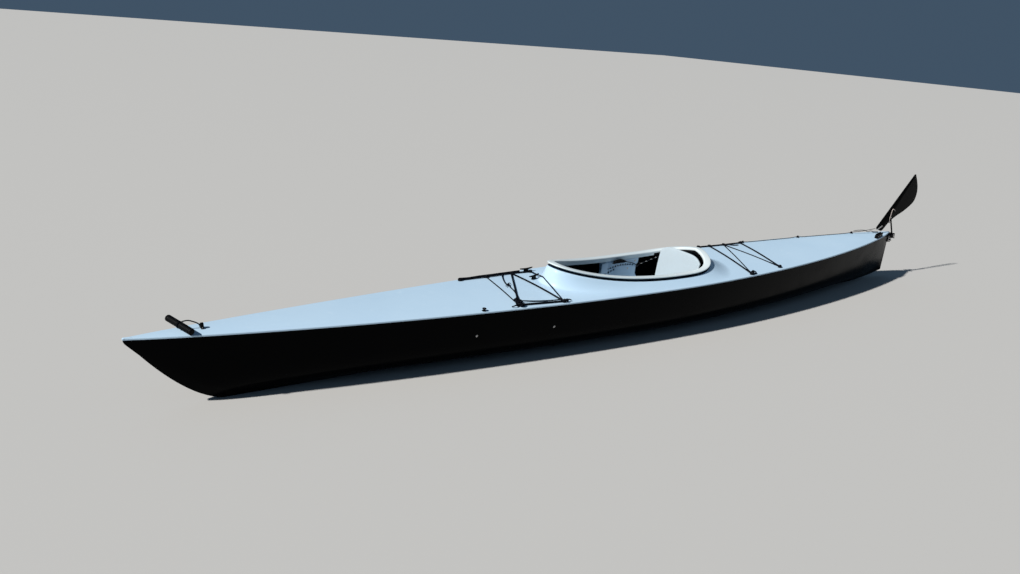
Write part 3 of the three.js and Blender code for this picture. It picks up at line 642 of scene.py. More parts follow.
def bladePlate():
    # black powder coat on a flat plate, scored and bare along the places that meet the sand
    color = {"coat": (0.0016, 0.0018, 0.0023), "score": (0.008, 0.008, 0.009), "dust": (0.006, 0.0056, 0.005)}
    paint = Paint("blade_plate", color["coat"], 0.36, specular=0.01)
    peel = paint.grain(240, 2, 0.5)
    scores = paint.grain(1, 2, 0.4, paint.stretched((30, 30, 420), (0, 0.6, 0))).step(0.655, 0.70)
    dust = paint.grain(24, 5, 0.6).step(0.56, 0.78)
    scored = paint.mixed(scores * 0.7, color["coat"], color["score"])
    paint.set(color=paint.mixed(dust * 0.3, scored, color["dust"]), roughness=0.30 + peel * 0.08 + dust * 0.2)
    return paint.bumped(peel * 0.6 - scores * 0.3, 0.0003, 0.4).material


finishes = {
    "hull": glossHull(),
    "deck": deckGelcoat(),
    "coaming": rimGelcoat(),
    "seat_shell": mouldedSeat("seat_shell", (0.44, 0.60, 0.76), (0.56, 0.68, 0.78)),
    "backrest_panel": mouldedSeat("backrest_panel", (0.49, 0.575, 0.625), (0.42, 0.49, 0.53), 0.46),
    "hip_pad_foam": closedFoam("hip_pad_foam", (0.010, 0.010, 0.011), (0.035, 0.035, 0.036), 640),
    "bulkhead_foam": closedFoam("bulkhead_foam", (0.030, 0.031, 0.034), (0.075, 0.075, 0.078), 300),
    "rail_metal": brushedMetal("rail_metal", (0.62, 0.63, 0.65), (0.40, 0.40, 0.41), (8, 600, 600)),
    "pedal_plastic": mouldedBlack("pedal_plastic", (0.007, 0.007, 0.008), (0.030, 0.030, 0.031), 0.45),
    "fitting_plastic": mouldedBlack("fitting_plastic"),
    "button_plastic": mouldedBlack("button_plastic", (0.0034, 0.0036, 0.0044), (0.014, 0.014, 0.015), 0.42),
    "shock_cord": braided("shock_cord", (0.0055, 0.0065, 0.0105), (0.026, 0.030, 0.040), 8, 0.010),
    "thin_line": braided("thin_line", (0.0050, 0.0062, 0.0100), (0.045, 0.050, 0.062), 6, 0.006),
    "flecked_line": braided("flecked_line", (0.014, 0.015, 0.019), (0.80, 0.81, 0.80), 6, 0.007, 0.95),
    "pale_line": braided("pale_line", (0.62, 0.54, 0.50), (0.80, 0.76, 0.72), 6, 0.007),
    # dark navy strip under the cockpit lip: painted shade of the shadowed gap there
    "painted_shade_strip": mouldedBlack("painted_shade_strip", (0.0045, 0.0140, 0.0300), (0.010, 0.024, 0.044), 0.6),
    "bracket_metal": brushedMetal("bracket_metal", (0.55, 0.54, 0.54), (0.33, 0.31, 0.30), (500, 500, 12), 0.3),
    "rudder_plastic": mouldedBlack("rudder_plastic", (0.0030, 0.0031, 0.0036), (0.014, 0.014, 0.015), 0.36),
    "blade_plate": bladePlate(),
}
print("materials made:", len(finishes))


# Bow cord: from the bow eye over to the middle of the toggle
bow = {
    "eyeX": 2.312, "toggle": (2.393, -0.006), "toggleLength": 0.150, "toggleRadius": 0.014, "yaw": 25.0,
    "tilt": 9.5, "cordRadius": 0.0025, "eyeHole": 0.012,
    "cordSides": ((2.326, -0.001, 0.009), (2.342, -0.003, 0.018), (2.362, -0.006, 0.025)),
}


def toggleAxis():
    yaw, tilt = math.radians(bow["yaw"]), math.radians(bow["tilt"])
    return Vector((-math.sin(yaw) * math.cos(tilt), math.cos(yaw) * math.cos(tilt), -math.sin(tilt)))


def togglePlace():
    # the bar leans over the port edge of the deck and just clears it
    along, (x, y), height = toggleAxis(), bow["toggle"], 0.0
    for i in range(-200, 201):
        off = along * (bow["toggleLength"] / 2 * i / 200)
        if abs(y + off.y) < halfBeam(x + off.x) + deckLines["overhang"]:
            lean = bow["toggleRadius"] / math.hypot(along.x, along.y)
            height = max(height, flatDeck(x + off.x, y + off.y) + clear["fitting"] - off.z + lean)
    return Vector((x, y, height))


def makeBowCord():
    bar, along = togglePlace(), toggleAxis()
    away = Vector((-1, 0, 1))
    away = (away - along * away.dot(along)).normalized() * (bow["toggleRadius"] + 0.002)
    eye = deckTop(bow["eyeX"], 0) + bow["eyeHole"]
    knots = [(bow["eyeX"] + 0.0069, 0, eye)] + [(x, y, eye + rise) for x, y, rise in bow["cordSides"]]
    path = throughPoints(knots + [tuple(bar + away)], 6)
    length = sum((b - a).length for a, b in zip(path, path[1:]))
    form = Form().tube(path, bow["cordRadius"], 14)
    cord = place("bow_cord_line", form, "thin_line", replaced=("bow_cord",))
    print("bow cord", round(length * 1000), "mm")


makeBowCord()


# Hull: a black shell with a bilge that turns softly; the shares shape the bilge's curve
hullShell = {
    "wall": 0.005, "stations": 150, "hollowFrom": -2.490, "hollowTo": 2.340, "sternTrim": 0.001, "bowTrim": 0.004,
    "fullness": 0.6, "chineOut": (0.5, 0.36), "chineUp": (0.42, -0.31), "topPull": (0.42, 0.4), "footPull": 0.55,
    "sideBulge": 0.0035, "bulgeShare": 0.35,
}


def hullCorners(x, inset):
    # of the port half: the sheer, the top, knee and foot of the bilge's curve, the edge of the keel's flat
    fullness = (halfBeam(x) / (hullLines["beam"] / 2)) ** hullShell["fullness"]
    keel, edge = keelZ(x) + inset, max(0.001, halfBeam(x) - inset)
    depth, stem = max(0.002, sheerZ(x) - keel), hullLines["stemHalf"]
    flat = min(edge * 0.8, stem * 0.8 + (hullLines["keelFlat"] - stem) * fullness ** 2)
    (out, outMore), (up, upMore) = hullShell["chineOut"], hullShell["chineUp"]
    pullY, pullZ = hullShell["topPull"]
    chineY = flat + (edge - flat) * (out + outMore * fullness)
    chineZ = keel + depth * (up + upMore * fullness)
    top = (chineY + (edge - chineY) * pullY, chineZ + (keel + depth - chineZ) * pullZ)
    foot = (flat + (chineY - flat) * hullShell["footPull"], keel + (chineZ - keel) * hullShell["footPull"])
    return fullness, [Vector(p) for p in ((edge, keel + depth), top, (chineY, chineZ), foot, (flat, keel))]


def hullSection(x, inset=0.0):
    # port half from the sheer down to the keel's flat
    fullness, (sheer, top, chine, foot, keelEdge) = hullCorners(x, inset)
    side = top - sheer
    out = Vector((-side.y, side.x)).normalized() if side.length else Vector((1, 0))
    bulge = hullShell["sideBulge"] * fullness
    points = [sheer + side * t + out * bulge * 4 * t * (1 - t) * hullShell["bulgeShare"]
              for t in spread(0, 1, 8)[:-1]]
    points += bend(top, chine, foot, 15)
    return points + [foot + (keelEdge - foot) * t for t in spread(0, 1, 5)[1:]]


def hullRing(x, inset=0.0):
    half = hullSection(x, inset)
    port = [(x, p.x, p.y) for p in half]
    return port + [(x, -p.x, p.y) for p in reversed(half)]


def hullStations(start, end, count):
    # closer together towards both ends
    return [start + (end - start) * (0.35 * t + 0.65 * (1 - math.cos(math.pi * t)) / 2)
            for t in spread(0, 1, count)]


def makeHull():
    wall, shell = hullShell["wall"], Form()
    ends = hullLines["stern"] + hullShell["sternTrim"], hullLines["bow"] - hullShell["bowTrim"]
    outer = sorted({*hullStations(*ends, hullShell["stations"]), hullShell["hollowFrom"], hullShell["hollowTo"]})
    hollow = [x for x in outer if hullShell["hollowFrom"] <= x <= hullShell["hollowTo"]]
    skin, inside = [hullRing(x) for x in outer], [hullRing(x, wall) for x in hollow]
    for rings in (skin, inside):
        shell.loft(rings, closed=False, caps=False)
    for ring in (inside[0], inside[-1], skin[0], skin[-1]):
        shell.add(ring, [list(range(len(ring)))])
    for side in (0, -1):                                  # the top edge of the wall
        edge = [[skin[outer.index(x)][side], inside[i][side]] for i, x in enumerate(hollow)]
        shell.loft(edge, closed=False, caps=False)
    for solid in ([x for x in outer if x <= hollow[0]], [x for x in outer if x >= hollow[-1]]):
        lid = []
        for x in solid:
            half, inner = halfBeam(x), max(0.0005, halfBeam(x) - wall)
            lid.append([(x, y, sheerZ(x)) for y in (half, inner, -inner, -half)])
        shell.loft(lid, closed=False, caps=False)
    place("hull_shell", shell, "hull", 50, 2 * touching, replaced=("hull",))


makeHull()
print("hull made")


# Deck: nearly flat, swelling to the cockpit rim, rolled down over the hull's edge
deckSheet = {
    "across": 84, "fine": 0.0055, "medium": 0.012, "coarse": 0.030, "roll": 0.0032, "skirt": 0.003,
    "seam": 0.0003, "thick": 0.004,
    "bands": ((-2.602, "coarse"), (-0.72, "fine"), (-0.46, "medium"), (0.34, "fine"), (0.68, "coarse"),
              (2.602, None)),
}


def deckStations():
    stations = []
    for (start, kind), (end, _) in zip(deckSheet["bands"], deckSheet["bands"][1:]):
        count = max(2, round((end - start) / deckSheet[kind]))
        stations += spread(start, end, count + 1)[:-1]
    return stations + [deckSheet["bands"][-1][0]]


def deckRow(x):
    # one section of the deck, from edge to edge: down the roll, over, and down again
    half, roll, low = halfBeam(x), deckSheet["roll"], sheerZ(x) + deckSheet["seam"]
    side = half + deckLines["overhang"]
    edge = [(side, low), (side, low + deckSheet["skirt"])]
    for turn in (math.pi / 8, math.pi / 4, math.pi * 3 / 8):
        edge.append((side - roll * (1 - math.cos(turn)), flatDeck(x, half) - roll * (1 - math.sin(turn))))
    row = [(-y, z) for y, z in edge]
    for t in spread(-1, 1, deckSheet["across"] + 1):      # a little closer together towards the edges
        y = (math.sin(math.pi / 2 * t) * 0.25 + t * 0.75) * (side - roll)
        row.append((y, deckTop(x, clamp(y, -half, half))))
    return row + [(y, z) for y, z in reversed(edge)]


def openCockpit(work):
    # takes out what lies inside the rim and draws the cut to the rim's line
    outline = rimOutline(160)
    inset = rimLines["lip"] - rimLines["riser"] - deckSheet["seam"]
    hole = [outline[i] - outwardAt(outline, i) * inset for i in range(len(outline))]
    tree = KDTree(len(hole))
    for i, p in enumerate(hole):
        tree.insert((p.x, p.y, 0), i)
    tree.balance()

    def nearest(p):
        return tree.find((p.x, p.y, 0))[1]

    def insideHole(p):
        if not insideRim(p.x, p.y):
            return False
        i = nearest(p)
        return (Vector((p.x, p.y)) - hole[i]).dot(outwardAt(hole, i)) < 0

    within = {v for v in work.verts if insideHole(v.co)}
    bmesh.ops.delete(work, geom=[f for f in work.faces if all(v in within for v in f.verts)],
                     context="FACES_ONLY")
    for v in within:
        if v.is_valid and v.link_faces:
            p = hole[nearest(v.co)]
            v.co = Vector((p.x, p.y, deckTop(p.x, p.y)))
    bmesh.ops.delete(work, geom=[v for v in work.verts if not v.link_faces], context="VERTS")


def makeDeck():
    work = bmesh.new()
    rows = []
    for station in deckStations():
        x = clamp(station, hullLines["stern"] + 0.001, hullLines["bow"] - 0.001)
        rows.append([work.verts.new((station, y, z)) for y, z in deckRow(x)])
    for a, b in zip(rows, rows[1:]):
        for j in range(len(a) - 1):
            work.faces.new((a[j], a[j + 1], b[j + 1], b[j]))
    openCockpit(work)
    bmesh.ops.recalc_face_normals(work, faces=work.faces)
    if sum(f.normal.z * f.calc_area() for f in work.faces) < 0:
        bmesh.ops.reverse_faces(work, faces=work.faces)
    bmesh.ops.translate(work, verts=work.verts, vec=(middle, 0, 0))
    mesh = bpy.data.meshes.new("deck_sheet")
    work.to_mesh(mesh)
    work.free()
    deck = place("deck_sheet", mesh, "deck", replaced=("deck",))
    solid = deck.modifiers.new("plate", "SOLIDIFY")
    solid.thickness, solid.offset = deckSheet["thick"], -1
    applyModifiers(deck)
    deck.data.shade_smooth()
    deck.data.set_sharp_from_angle(angle=math.radians(50))


# Nose: the blunt top of the stem, and the deck's rounded tip over it
nose = {"tip": hullLines["bow"] + 0.0015, "stemWide": 0.0096, "stemRound": 0.0034, "capLong": 0.030,
        "capWide": 0.0150, "capHigh": 0.0090, "capRound": 0.0038}


def makeNose():
    top, tip = hullLines["sheerBow"], nose["tip"]
    stem = softened([(tip - 0.057, top - 0.073, 0), (tip - 0.003, top - 0.014, 0.010), (tip, top + 0.001, 0.004),
                     (tip - 0.057, top + 0.001, 0)], 6)
    place("bow_nose", Form().slab(stem, nose["stemWide"], nose["stemRound"], athwart()), "hull", 40, touching)
    back, front, high = tip - nose["capLong"], tip + 0.0004, top + nose["capHigh"]
    low = top - 0.0010
    cap = softened([(back, low, 0), (front, low, 0.003), (front, high, 0.005), (back, high, 0)], 6)
    place("bow_tip", Form().slab(cap, nose["capWide"], nose["capRound"], athwart()), "deck", 40, touching)


makeDeck()
makeNose()
print("deck made")


# Cockpit rim: a thin lip that rolls over into the riser under its inner edge
rimShape = {"steps": 170, "thick": 0.0072, "topRise": 0.0006, "roll": 0.0080, "wall": 0.004, "painted_shade_strip": 0.0009,
            "linerFrom": -0.36, "liner": 0.0009}


def rimProfile():
    # (inset from the outer edge, drop from the top), once round the section
    lip, riser, thick, roll = rimLines["lip"], rimLines["riser"], rimShape["thick"], rimShape["roll"]
    foot, half, inner = deckLines["cowlGap"] + deckLines["plate"], thick / 2, roll - rimShape["wall"]
    edge = [(half * (1 - math.sin(a)), half * (1 - math.cos(a))) for a in spread(math.pi, 0, 9)]
    flat = [(blendTo(half, lip - roll, t), -rimShape["topRise"] * math.sin(math.pi * t))
            for t in spread(0, 1, 6)[1:-1]]
    fall = [(lip - roll * (1 - math.sin(a)), roll * (1 - math.cos(a))) for a in spread(0, math.pi / 2, 9)]
    end = [(lip, foot - 0.001), (lip - 0.001, foot), (lip - riser + 0.001, foot), (lip - riser, foot - 0.001)]
    under = [(lip - riser - inner * (1 - math.sin(a)), thick + inner * (1 - math.cos(a)))
             for a in spread(math.pi / 2, 0, 7)]
    return edge + flat + fall + end + under


def sweptOnRim(profile, outline, keep=None):
    rings = []
    for i, p in enumerate(outline):
        if keep and not keep(p):
            continue
        out, z = outwardAt(outline, i), rimZ(p.x)
        rings.append([(p.x - out.x * inset, p.y - out.y * inset, z - drop) for inset, drop in profile])
    return rings


def makeRim():
    outline = rimOutline(rimShape["steps"])
    place("cockpit_rim", Form().loft(sweptOnRim(rimProfile(), outline), loop=True), "coaming", 38,
          replaced=("coaming",))
    lip, gap, skin = rimLines["lip"], deckLines["cowlGap"], rimShape["painted_shade_strip"]
    wall, top = lip - rimLines["riser"], rimShape["thick"] + 0.011
    # a dark strip over the riser and the deck under the lip: painted shade for the gap under the lip
    painted_shade_strip = [(wall, top), (wall, gap), (0.004, gap), (0.003, gap - skin), (0.005, gap - 2 * skin),
              (wall - 0.003, gap - 2 * skin), (wall - skin, gap - 0.003), (wall - skin, top)]
    place("rim_painted_shade_strip", Form().loft(sweptOnRim(painted_shade_strip, outline), loop=True), "painted_shade_strip", 40)
    foot, thin = gap + deckLines["plate"], rimShape["liner"]
    liner = [(lip - 0.0002, 0.014), (lip - 0.0002, foot), (lip + thin, foot), (lip + thin, 0.0155)]
    half = len(outline) // 2
    rings = sweptOnRim(liner, outline[half:] + outline[:half], lambda p: p.x < rimShape["linerFrom"])
    place("rear_liner", Form().loft(rings), "fitting_plastic", 40)


makeRim()
print("cockpit rim made")


# Deck buttons, their screws, and the shock cord hitched round them
buttonShape = [(0, 0), (0.0110, 0), (0.0112, 0.0006), (0.0106, 0.0013), (0.0056, 0.0021), (0.0045, 0.0032),
               (0.0045, 0.0083), (0.0056, 0.0092), (0.0096, 0.0097), (0.0102, 0.0105), (0.0101, 0.0117),
               (0.0090, 0.0130), (0.0062, 0.0136), (0.0045, 0.0134), (0.0038, 0.0116), (0, 0.0115)]
buttonScrew = {"height": 0.0116, "radius": 0.0034, "dome": 0.0014}
hitch = {"radius": 0.0083, "height": 0.0062, "turns": ((0.0046, 0.0), (0.0074, 0.0004)), "thick": 0.0044,
         "thin": 0.0030}
foreButtons = {
    "port_a": (1.110, 0.212), "port_b": (0.918, 0.216), "port_c": (0.668, 0.248), "starboard_a": (0.985, -0.214),
    "starboard_b": (0.828, -0.212), "starboard_c": (0.662, -0.220), "starboard_d": (0.542, -0.209),
}
aftButtons = {
    "port_a": (-0.705, 0.281), "port_b": (-1.000, 0.252), "starboard_a": (-0.840, -0.262),
    "starboard_b": (-0.930, -0.250), "starboard_c": (-1.052, -0.238), "starboard_d": (-1.205, -0.228),
}
foreCords = [
    ("port_b", "starboard_b", "thin"), ("port_b", "starboard_c", "thick"), ("port_c", "starboard_c", "thick"),
    ("port_c", "starboard_d", "thin"), ("port_b", "port_c", "thick"), ("starboard_a", "starboard_b", "thick"),
    ("starboard_b", "starboard_c", "thick"), ("starboard_c", "starboard_d", "thick"),
]
aftCords = [
    ("port_a", "starboard_b", "thick"), ("port_a", "starboard_c", "thin"), ("port_b", "starboard_c", "thin"),
    ("port_b", "starboard_d", "thick"), ("starboard_a", "starboard_b", "thick"),
    ("starboard_b", "starboard_c", "thick"), ("starboard_c", "starboard_d", "thick"),
]


def makeButtons(prefix, places):
    knobs, screws = Form(), Form()
    for x, y in places.values():
        foot = standing(x, y)
        knobs.lathe(buttonShape, 28, foot)
        head = foot @ Matrix.Translation((0, 0, buttonScrew["height"]))
        screws.lathe(domed(buttonScrew["radius"], buttonScrew["dome"]), 16, head)
    names = tuple(f"{prefix}_button_{key}" for key in places)
    place(f"{prefix}_buttons", knobs, "button_plastic", 40, replaced=names)
    place(f"{prefix}_button_screws", screws, "bracket_metal", 40)


def hitchedEnd(places, key, towards):
    (x, y), (ox, oy) = places[key], places[towards]
    way = Vector((ox - x, oy - y)).normalized() * hitch["radius"]
    return onDeck(x, y, hitch["height"]) + Vector((way.x, way.y, 0))


def makeNet(name, places, cords, extras=()):
    net = Form()
    for key in sorted({key for a, b, kind in cords for key in (a, b)}):
        x, y = places[key]
        foot = standing(x, y)
        for height, reach in hitch["turns"]:
            ring = [foot @ Vector((p.x, p.y, height)) for p in circle(hitch["radius"] + reach, 22)]
            net.tube(ring, hitch["thin"], 10, loop=True)
    for a, b, kind in cords:
        radius = hitch[kind]
        net.tube(taut(hitchedEnd(places, a, b), hitchedEnd(places, b, a), radius), radius, 10)
    for path, radius in extras:
        net.tube(path, radius, 10)
    place(f"{name}_net", net, "shock_cord", 60, replaced=(f"{name}_bungee",))


def laidCord(points, radius, perSpan=6):
    # a loose end: listed (x, y, height over the deck) points joined by a smooth curve
    path = throughPoints([(x, y, 0) for x, y, height in points], perSpan)
    lifts = throughPoints([(i, 0, height) for i, (x, y, height) in enumerate(points)], perSpan)
    return [onDeck(p.x, p.y, radius + clear["cord"] + max(0, lift.z)) for p, lift in zip(path, lifts)], radius


def knotAt(x, y, size, radius, turn, height=0.006):
    return knotPath(size, standing(x, y, turn, height)), radius


# the slack thin cord with its knot, the knots at the second port button, and a second cord along the edges
thin, thick, loose = hitch["thin"], hitch["thick"], 0.0018
foreExtras = [
    laidCord([(0.726, -0.216, 0.006), (0.748, -0.176, 0.002), (0.778, -0.117, 0.0), (0.802, -0.066, 0.003),
              (0.803, -0.040, 0.004), (0.812, -0.010, 0.002), (0.820, 0.030, 0.0), (0.840, 0.079, 0.002),
              (0.856, 0.120, 0.001), (0.884, 0.162, 0.004), (0.905, 0.198, 0.010)], thin),
    knotAt(0.803, -0.044, 0.0028, 0.0026, 30, 0.004),
    laidCord([(0.803, -0.044, 0.006), (0.790, -0.056, 0.009), (0.776, -0.057, 0.004)], loose),
    laidCord([(0.803, -0.044, 0.006), (0.820, -0.036, 0.009), (0.828, -0.022, 0.004)], loose),
    knotAt(0.905, 0.196, 0.0054, 0.0046, 10),
    knotAt(0.893, 0.166, 0.0044, 0.0040, 70),
    knotAt(0.906, 0.228, 0.0040, 0.0036, 130),
    laidCord([(0.930, 0.222, 0.010), (0.948, 0.230, 0.008), (0.962, 0.224, 0.002)], thin),
    laidCord([(0.905, 0.200, 0.012), (0.880, 0.184, 0.006), (0.800, 0.200, 0.001), (0.720, 0.222, 0.003),
              (0.684, 0.236, 0.008)], thin),
    laidCord([(0.990, -0.214, 0.008), (0.930, -0.222, 0.003), (0.860, -0.226, 0.004), (0.780, -0.230, 0.003),
              (0.700, -0.230, 0.004), (0.600, -0.232, 0.004)], thick),
    knotAt(0.655, 0.250, 0.0034, 0.0034, 20),
    laidCord([(0.655, 0.246, 0.008), (0.635, 0.250, 0.008), (0.622, 0.248, 0.002)], thin),
]
aftExtras = [
    knotAt(-0.722, 0.272, 0.0034, 0.0034, 40),
    laidCord([(-0.712, 0.276, 0.008), (-0.735, 0.262, 0.012), (-0.752, 0.272, 0.004), (-0.738, 0.286, 0.003),
              (-0.715, 0.286, 0.008)], thin),
    laidCord([(-1.052, -0.238, 0.008), (-1.075, -0.222, 0.004), (-1.118, -0.200, 0.001),
              (-1.150, -0.196, 0.0)], thin),
    knotAt(-1.010, 0.246, 0.0024, 0.0028, 10),
]
makeButtons("fore", foreButtons)
makeButtons("aft", aftButtons)
makeNet("fore", foreButtons, foreCords, foreExtras)
makeNet("aft", aftButtons, aftCords, aftExtras)
print("buttons and shock cord made")


# Horn cleats: a rounded horn swept up at both ends, on a foot with two screws
cleats = {"cleat_middle": (0.600, -0.098, 20), "cleat_starboard": (0.556, -0.230, 5)}
cleat = {
    "half": 0.0455, "height": 0.0165, "sweep": 0.0045, "wide": 0.0064, "tall": 0.0046, "screw": (0.0028, 0.0012),
    "screwX": 0.0085, "screwZ": 0.0206,
    "neck": ((0, 0.0200, 0.0064), (0.0015, 0.0200, 0.0064), (0.0035, 0.0180, 0.0056), (0.0080, 0.0150, 0.0048),
             (0.0135, 0.0150, 0.0046), (0.0170, 0.0180, 0.0050)),
}


def makeCleat(name, x, y, turn):
    foot, horn, screws, rings = standing(x, y, turn), Form(), Form(), []
    for t in spread(-1, 1, 25):
        lift = cleat["height"] + cleat["sweep"] * abs(t) ** 2.2
        shrunk = 0.45 if abs(t) > 0.999 else 1
        wide = cleat["wide"] * (1 - 0.55 * abs(t) ** 3) * shrunk
        tall = cleat["tall"] * (1 - 0.45 * abs(t) ** 3) * shrunk
        rings.append([(cleat["half"] * t, wide * p.x, lift + tall * p.y) for p in circle(1, 14)])
    horn.loft(rings, place=foot)
    neck = []
    for height, long, wide in cleat["neck"]:
        corners = ((long, -wide), (long, wide), (-long, wide), (-long, -wide))
        neck.append([(p.x, p.y, height) for p in softened([(*corner, wide * 0.8) for corner in corners])])
    horn.loft(neck, place=foot)
    for side in (-1, 1):
        screws.lathe(domed(*cleat["screw"]), 16,
                     foot @ Matrix.Translation((side * cleat["screwX"], 0, cleat["screwZ"])))
    place(f"{name}_horn", horn, "fitting_plastic", 50, replaced=(name,))
    place(f"{name}_screws", screws, "bracket_metal", 40)


for name, spot in cleats.items():
    makeCleat(name, *spot)
print("cleats made")


# Seat: cheek plates with adjusting holes, a moulded pan, a backrest dished to the back, and hip pads
cheek = {
    "y": 0.187, "thick": 0.006, "front": 0.060, "back": -0.240, "top": 0.3064, "foot": 0.060, "hole": 0.0066,
    "holeStep": 0.0195, "holeRows": ((11, -0.004, 0.259, 0.017, 12), (3, -0.012, 0.239, 0.016, 7)),
    "bolts": ((0.040, 0.292), (-0.215, 0.292), (-0.160, 0.250)), "bigHoles": (-0.02, -0.09, -0.16),
    "bigHole": (0.120, 0.011), "flange": (0.0305, 0.0075, 0.2710), "flangeTurn": 0.17,
}
pan = {
    "thick": 0.007, "dish": 0.0025, "dishAt": -0.13, "dishReach": 0.12, "dishFade": 0.05,
    "run": ((0.060, 0.070), (0.045, 0.0755), (0.020, 0.0725), (-0.020, 0.054), (-0.060, 0.044), (-0.140, 0.0435),
            (-0.235, 0.0438), (-0.300, 0.056), (-0.361, 0.1064)),
}
backrest = {"foot": 0.108, "side": 0.350, "top": 0.386, "halfWidth": 0.157, "thick": 0.010, "x": -0.355,
            "lean": 7.0, "rounding": 0.0035, "dish": 0.006, "belly": 0.004, "footCorner": 0.030, "narrower": 0.02,
            "rib": 0.0012, "ribY": 0.085, "ribHalf": 0.010, "ribFrom": 0.15, "ribTo": 0.33, "ribFade": 0.05}
hipPad = {"front": -0.060, "back": -0.190, "foot": 0.112, "top": 0.204, "thick": 0.012, "corner": 0.026,
          "cell": 0.004, "core": 0.62, "coreAt": 0.36, "pressure": 4, "swelling": 0.0025, "fill": 0.7}


def makeCheek(side, sign):
    front, back, top, foot = (cheek[key] for key in ("front", "back", "top", "foot"))
    outline = softened([(front, top, 0), (front, foot + 0.08, 0.05), (front - 0.05, foot, 0.035),
                        (back + 0.05, foot, 0.035), (back, foot + 0.07, 0.05), (back, 0.196, 0.012),
                        (back + 0.016, 0.210, 0.010), (back + 0.014, 0.268, 0.010), (back, 0.276, 0.006),
                        (back, top, 0)], 6)
    middleY = sign * (cheek["y"] + cheek["thick"] / 2)
    piece = place(f"cheek_{side}", Form().slab(outline, cheek["thick"], 0.0012, athwart(middleY)), "seat_shell",
                  30, touching, replaced=(f"cheek_plate_{side}",))
    hole, step, spots = cheek["hole"], cheek["holeStep"], []
    for count, x, z, arch, span in cheek["holeRows"]:     # each row of adjusting holes follows a low arch
        spots += [(x - step * i, z + arch * math.sin(math.pi * i / span), hole) for i in range(count)]
    spots += [(x, *cheek["bigHole"]) for x in cheek["bigHoles"]]
    outlines = [circle(radius, 18, (x, z)) for x, z, radius in spots]
    outlines.append(softened([(0.046, 0.232, 0.004), (0.046, 0.221, 0.004), (0.002, 0.221, 0.004),
                              (0.002, 0.232, 0.004)]))
    holes = Form()
    for cut in outlines:
        holes.loft([[(p.x, middleY + dy, p.y) for p in cut] for dy in (-0.01, 0.01)])
    cutWith(piece, holes)
    flange = softened([(-0.030, -0.0320, 0.004), (0.030, -0.0320, 0.006), (0.030, 0.0300, 0.010),
                       (-0.030, 0.0300, 0.006)])
    x, inboard, z = cheek["flange"]
    turn = Matrix.Rotation(-sign * cheek["flangeTurn"], 4, "Z")
    spot = Matrix.Translation((x, sign * (cheek["y"] - inboard), z)) @ turn @ athwart()
    place(f"cheek_flange_{side}", Form().slab(flange, 0.0030, 0.0008, spot), "seat_shell", 30, touching)
    bolts = Form()
    for x, z in cheek["bolts"]:
        inner = Matrix.Translation((x, middleY - sign * cheek["thick"] / 2, z))
        bolts.lathe(domed(0.0065, 0.0026), 20, inner @ Matrix.Rotation(sign * math.pi / 2, 4, "X"))
    place(f"cheek_bolts_{side}", bolts, "bracket_metal", 40)


def makePan():
    # seat pan: a rounded lip in front, a shallow hollow along the middle, and a rise behind
    half, columns, rings = cheek["y"] - 0.0004, spread(-1, 1, 31), []
    for p in throughPoints([(x, z, 0) for x, z in pan["run"]], 7):
        dish = pan["dish"] * ease((pan["dishReach"] - abs(p.x - pan["dishAt"])) / pan["dishFade"])
        ring = [(p.x, t * half, p.y - dish * math.cos(2 * math.pi * t) * (1 - t * t)) for t in columns]
        rings.append(ring + [(x, y, z - pan["thick"]) for x, y, z in reversed(ring)])
    place("seat_moulding", Form().loft(rings), "seat_shell", 35, touching, replaced=("seat_pan",))


def backrestPoint(across, up):
    # a point of the front face: across from -1 to 1, up from 0 at the foot to 1 at the top edge
    crown = blendTo(backrest["top"], backrest["side"], abs(across) ** 5)
    foot = backrest["foot"] + backrest["footCorner"] * abs(across) ** 6
    z = blendTo(foot, crown, up)
    lean = math.tan(math.radians(backrest["lean"])) * (z - backrest["foot"])
    wide = backrest["halfWidth"] * (1 - backrest["narrower"] * (1 - up))
    dish = -backrest["dish"] * (1 - across * across) + backrest["belly"] * math.sin(math.pi * up)
    return Vector((backrest["x"] - lean + dish, across * wide, z))


def makeBackrest():
    columns, rows, form = 40, 34, Form()
    front = [[backrestPoint(across, up) for across in spread(-1, 1, columns)] for up in spread(0, 1, rows)]
    low, high, fade = backrest["ribFrom"], backrest["ribTo"], backrest["ribFade"]
    for p in (p for row in front for p in row):
        across = 1 - ease(abs(abs(p.y) - backrest["ribY"]) / backrest["ribHalf"])
        p.x -= backrest["rib"] * across * ease((p.z - low) / fade) * ease((high - p.z) / fade)
    thick, soft = backrest["thick"], backrest["rounding"]
    back = [[p - Vector((thick, 0, 0)) for p in row] for row in front]
    sides = [row[-1] for row in front[1:]], [row[0] for row in front[-2:0:-1]]
    border = front[0] + sides[0] + front[-1][-2::-1] + sides[1]
    rim, moved = [Vector((p.y, p.z)) for p in border], {}
    for p, q in zip(border, drawnIn(rim, soft)):
        moved[round(p.y, 6), round(p.z, 6)] = Vector((0, q.x - p.y, q.y - p.z))
    for skin in (front, back):
        points = [[p + moved.get((round(p.y, 6), round(p.z, 6)), Vector()) for p in row] for row in skin]
        form.loft(points, closed=False, caps=False)
    rings = []
    for inset, depth in ((soft, 0.0), (soft * 0.3, soft * 0.3), (0, soft), (0, thick - soft),
                         (soft * 0.3, thick - soft * 0.3), (soft, thick)):
        rings.append([Vector((p.x - depth, q.x, q.y)) for p, q in zip(border, drawnIn(rim, inset))])
    form.loft(rings, caps=False)
    place("backrest_shell", form, "backrest_panel", 40, 20 * touching, replaced=("backrest",))


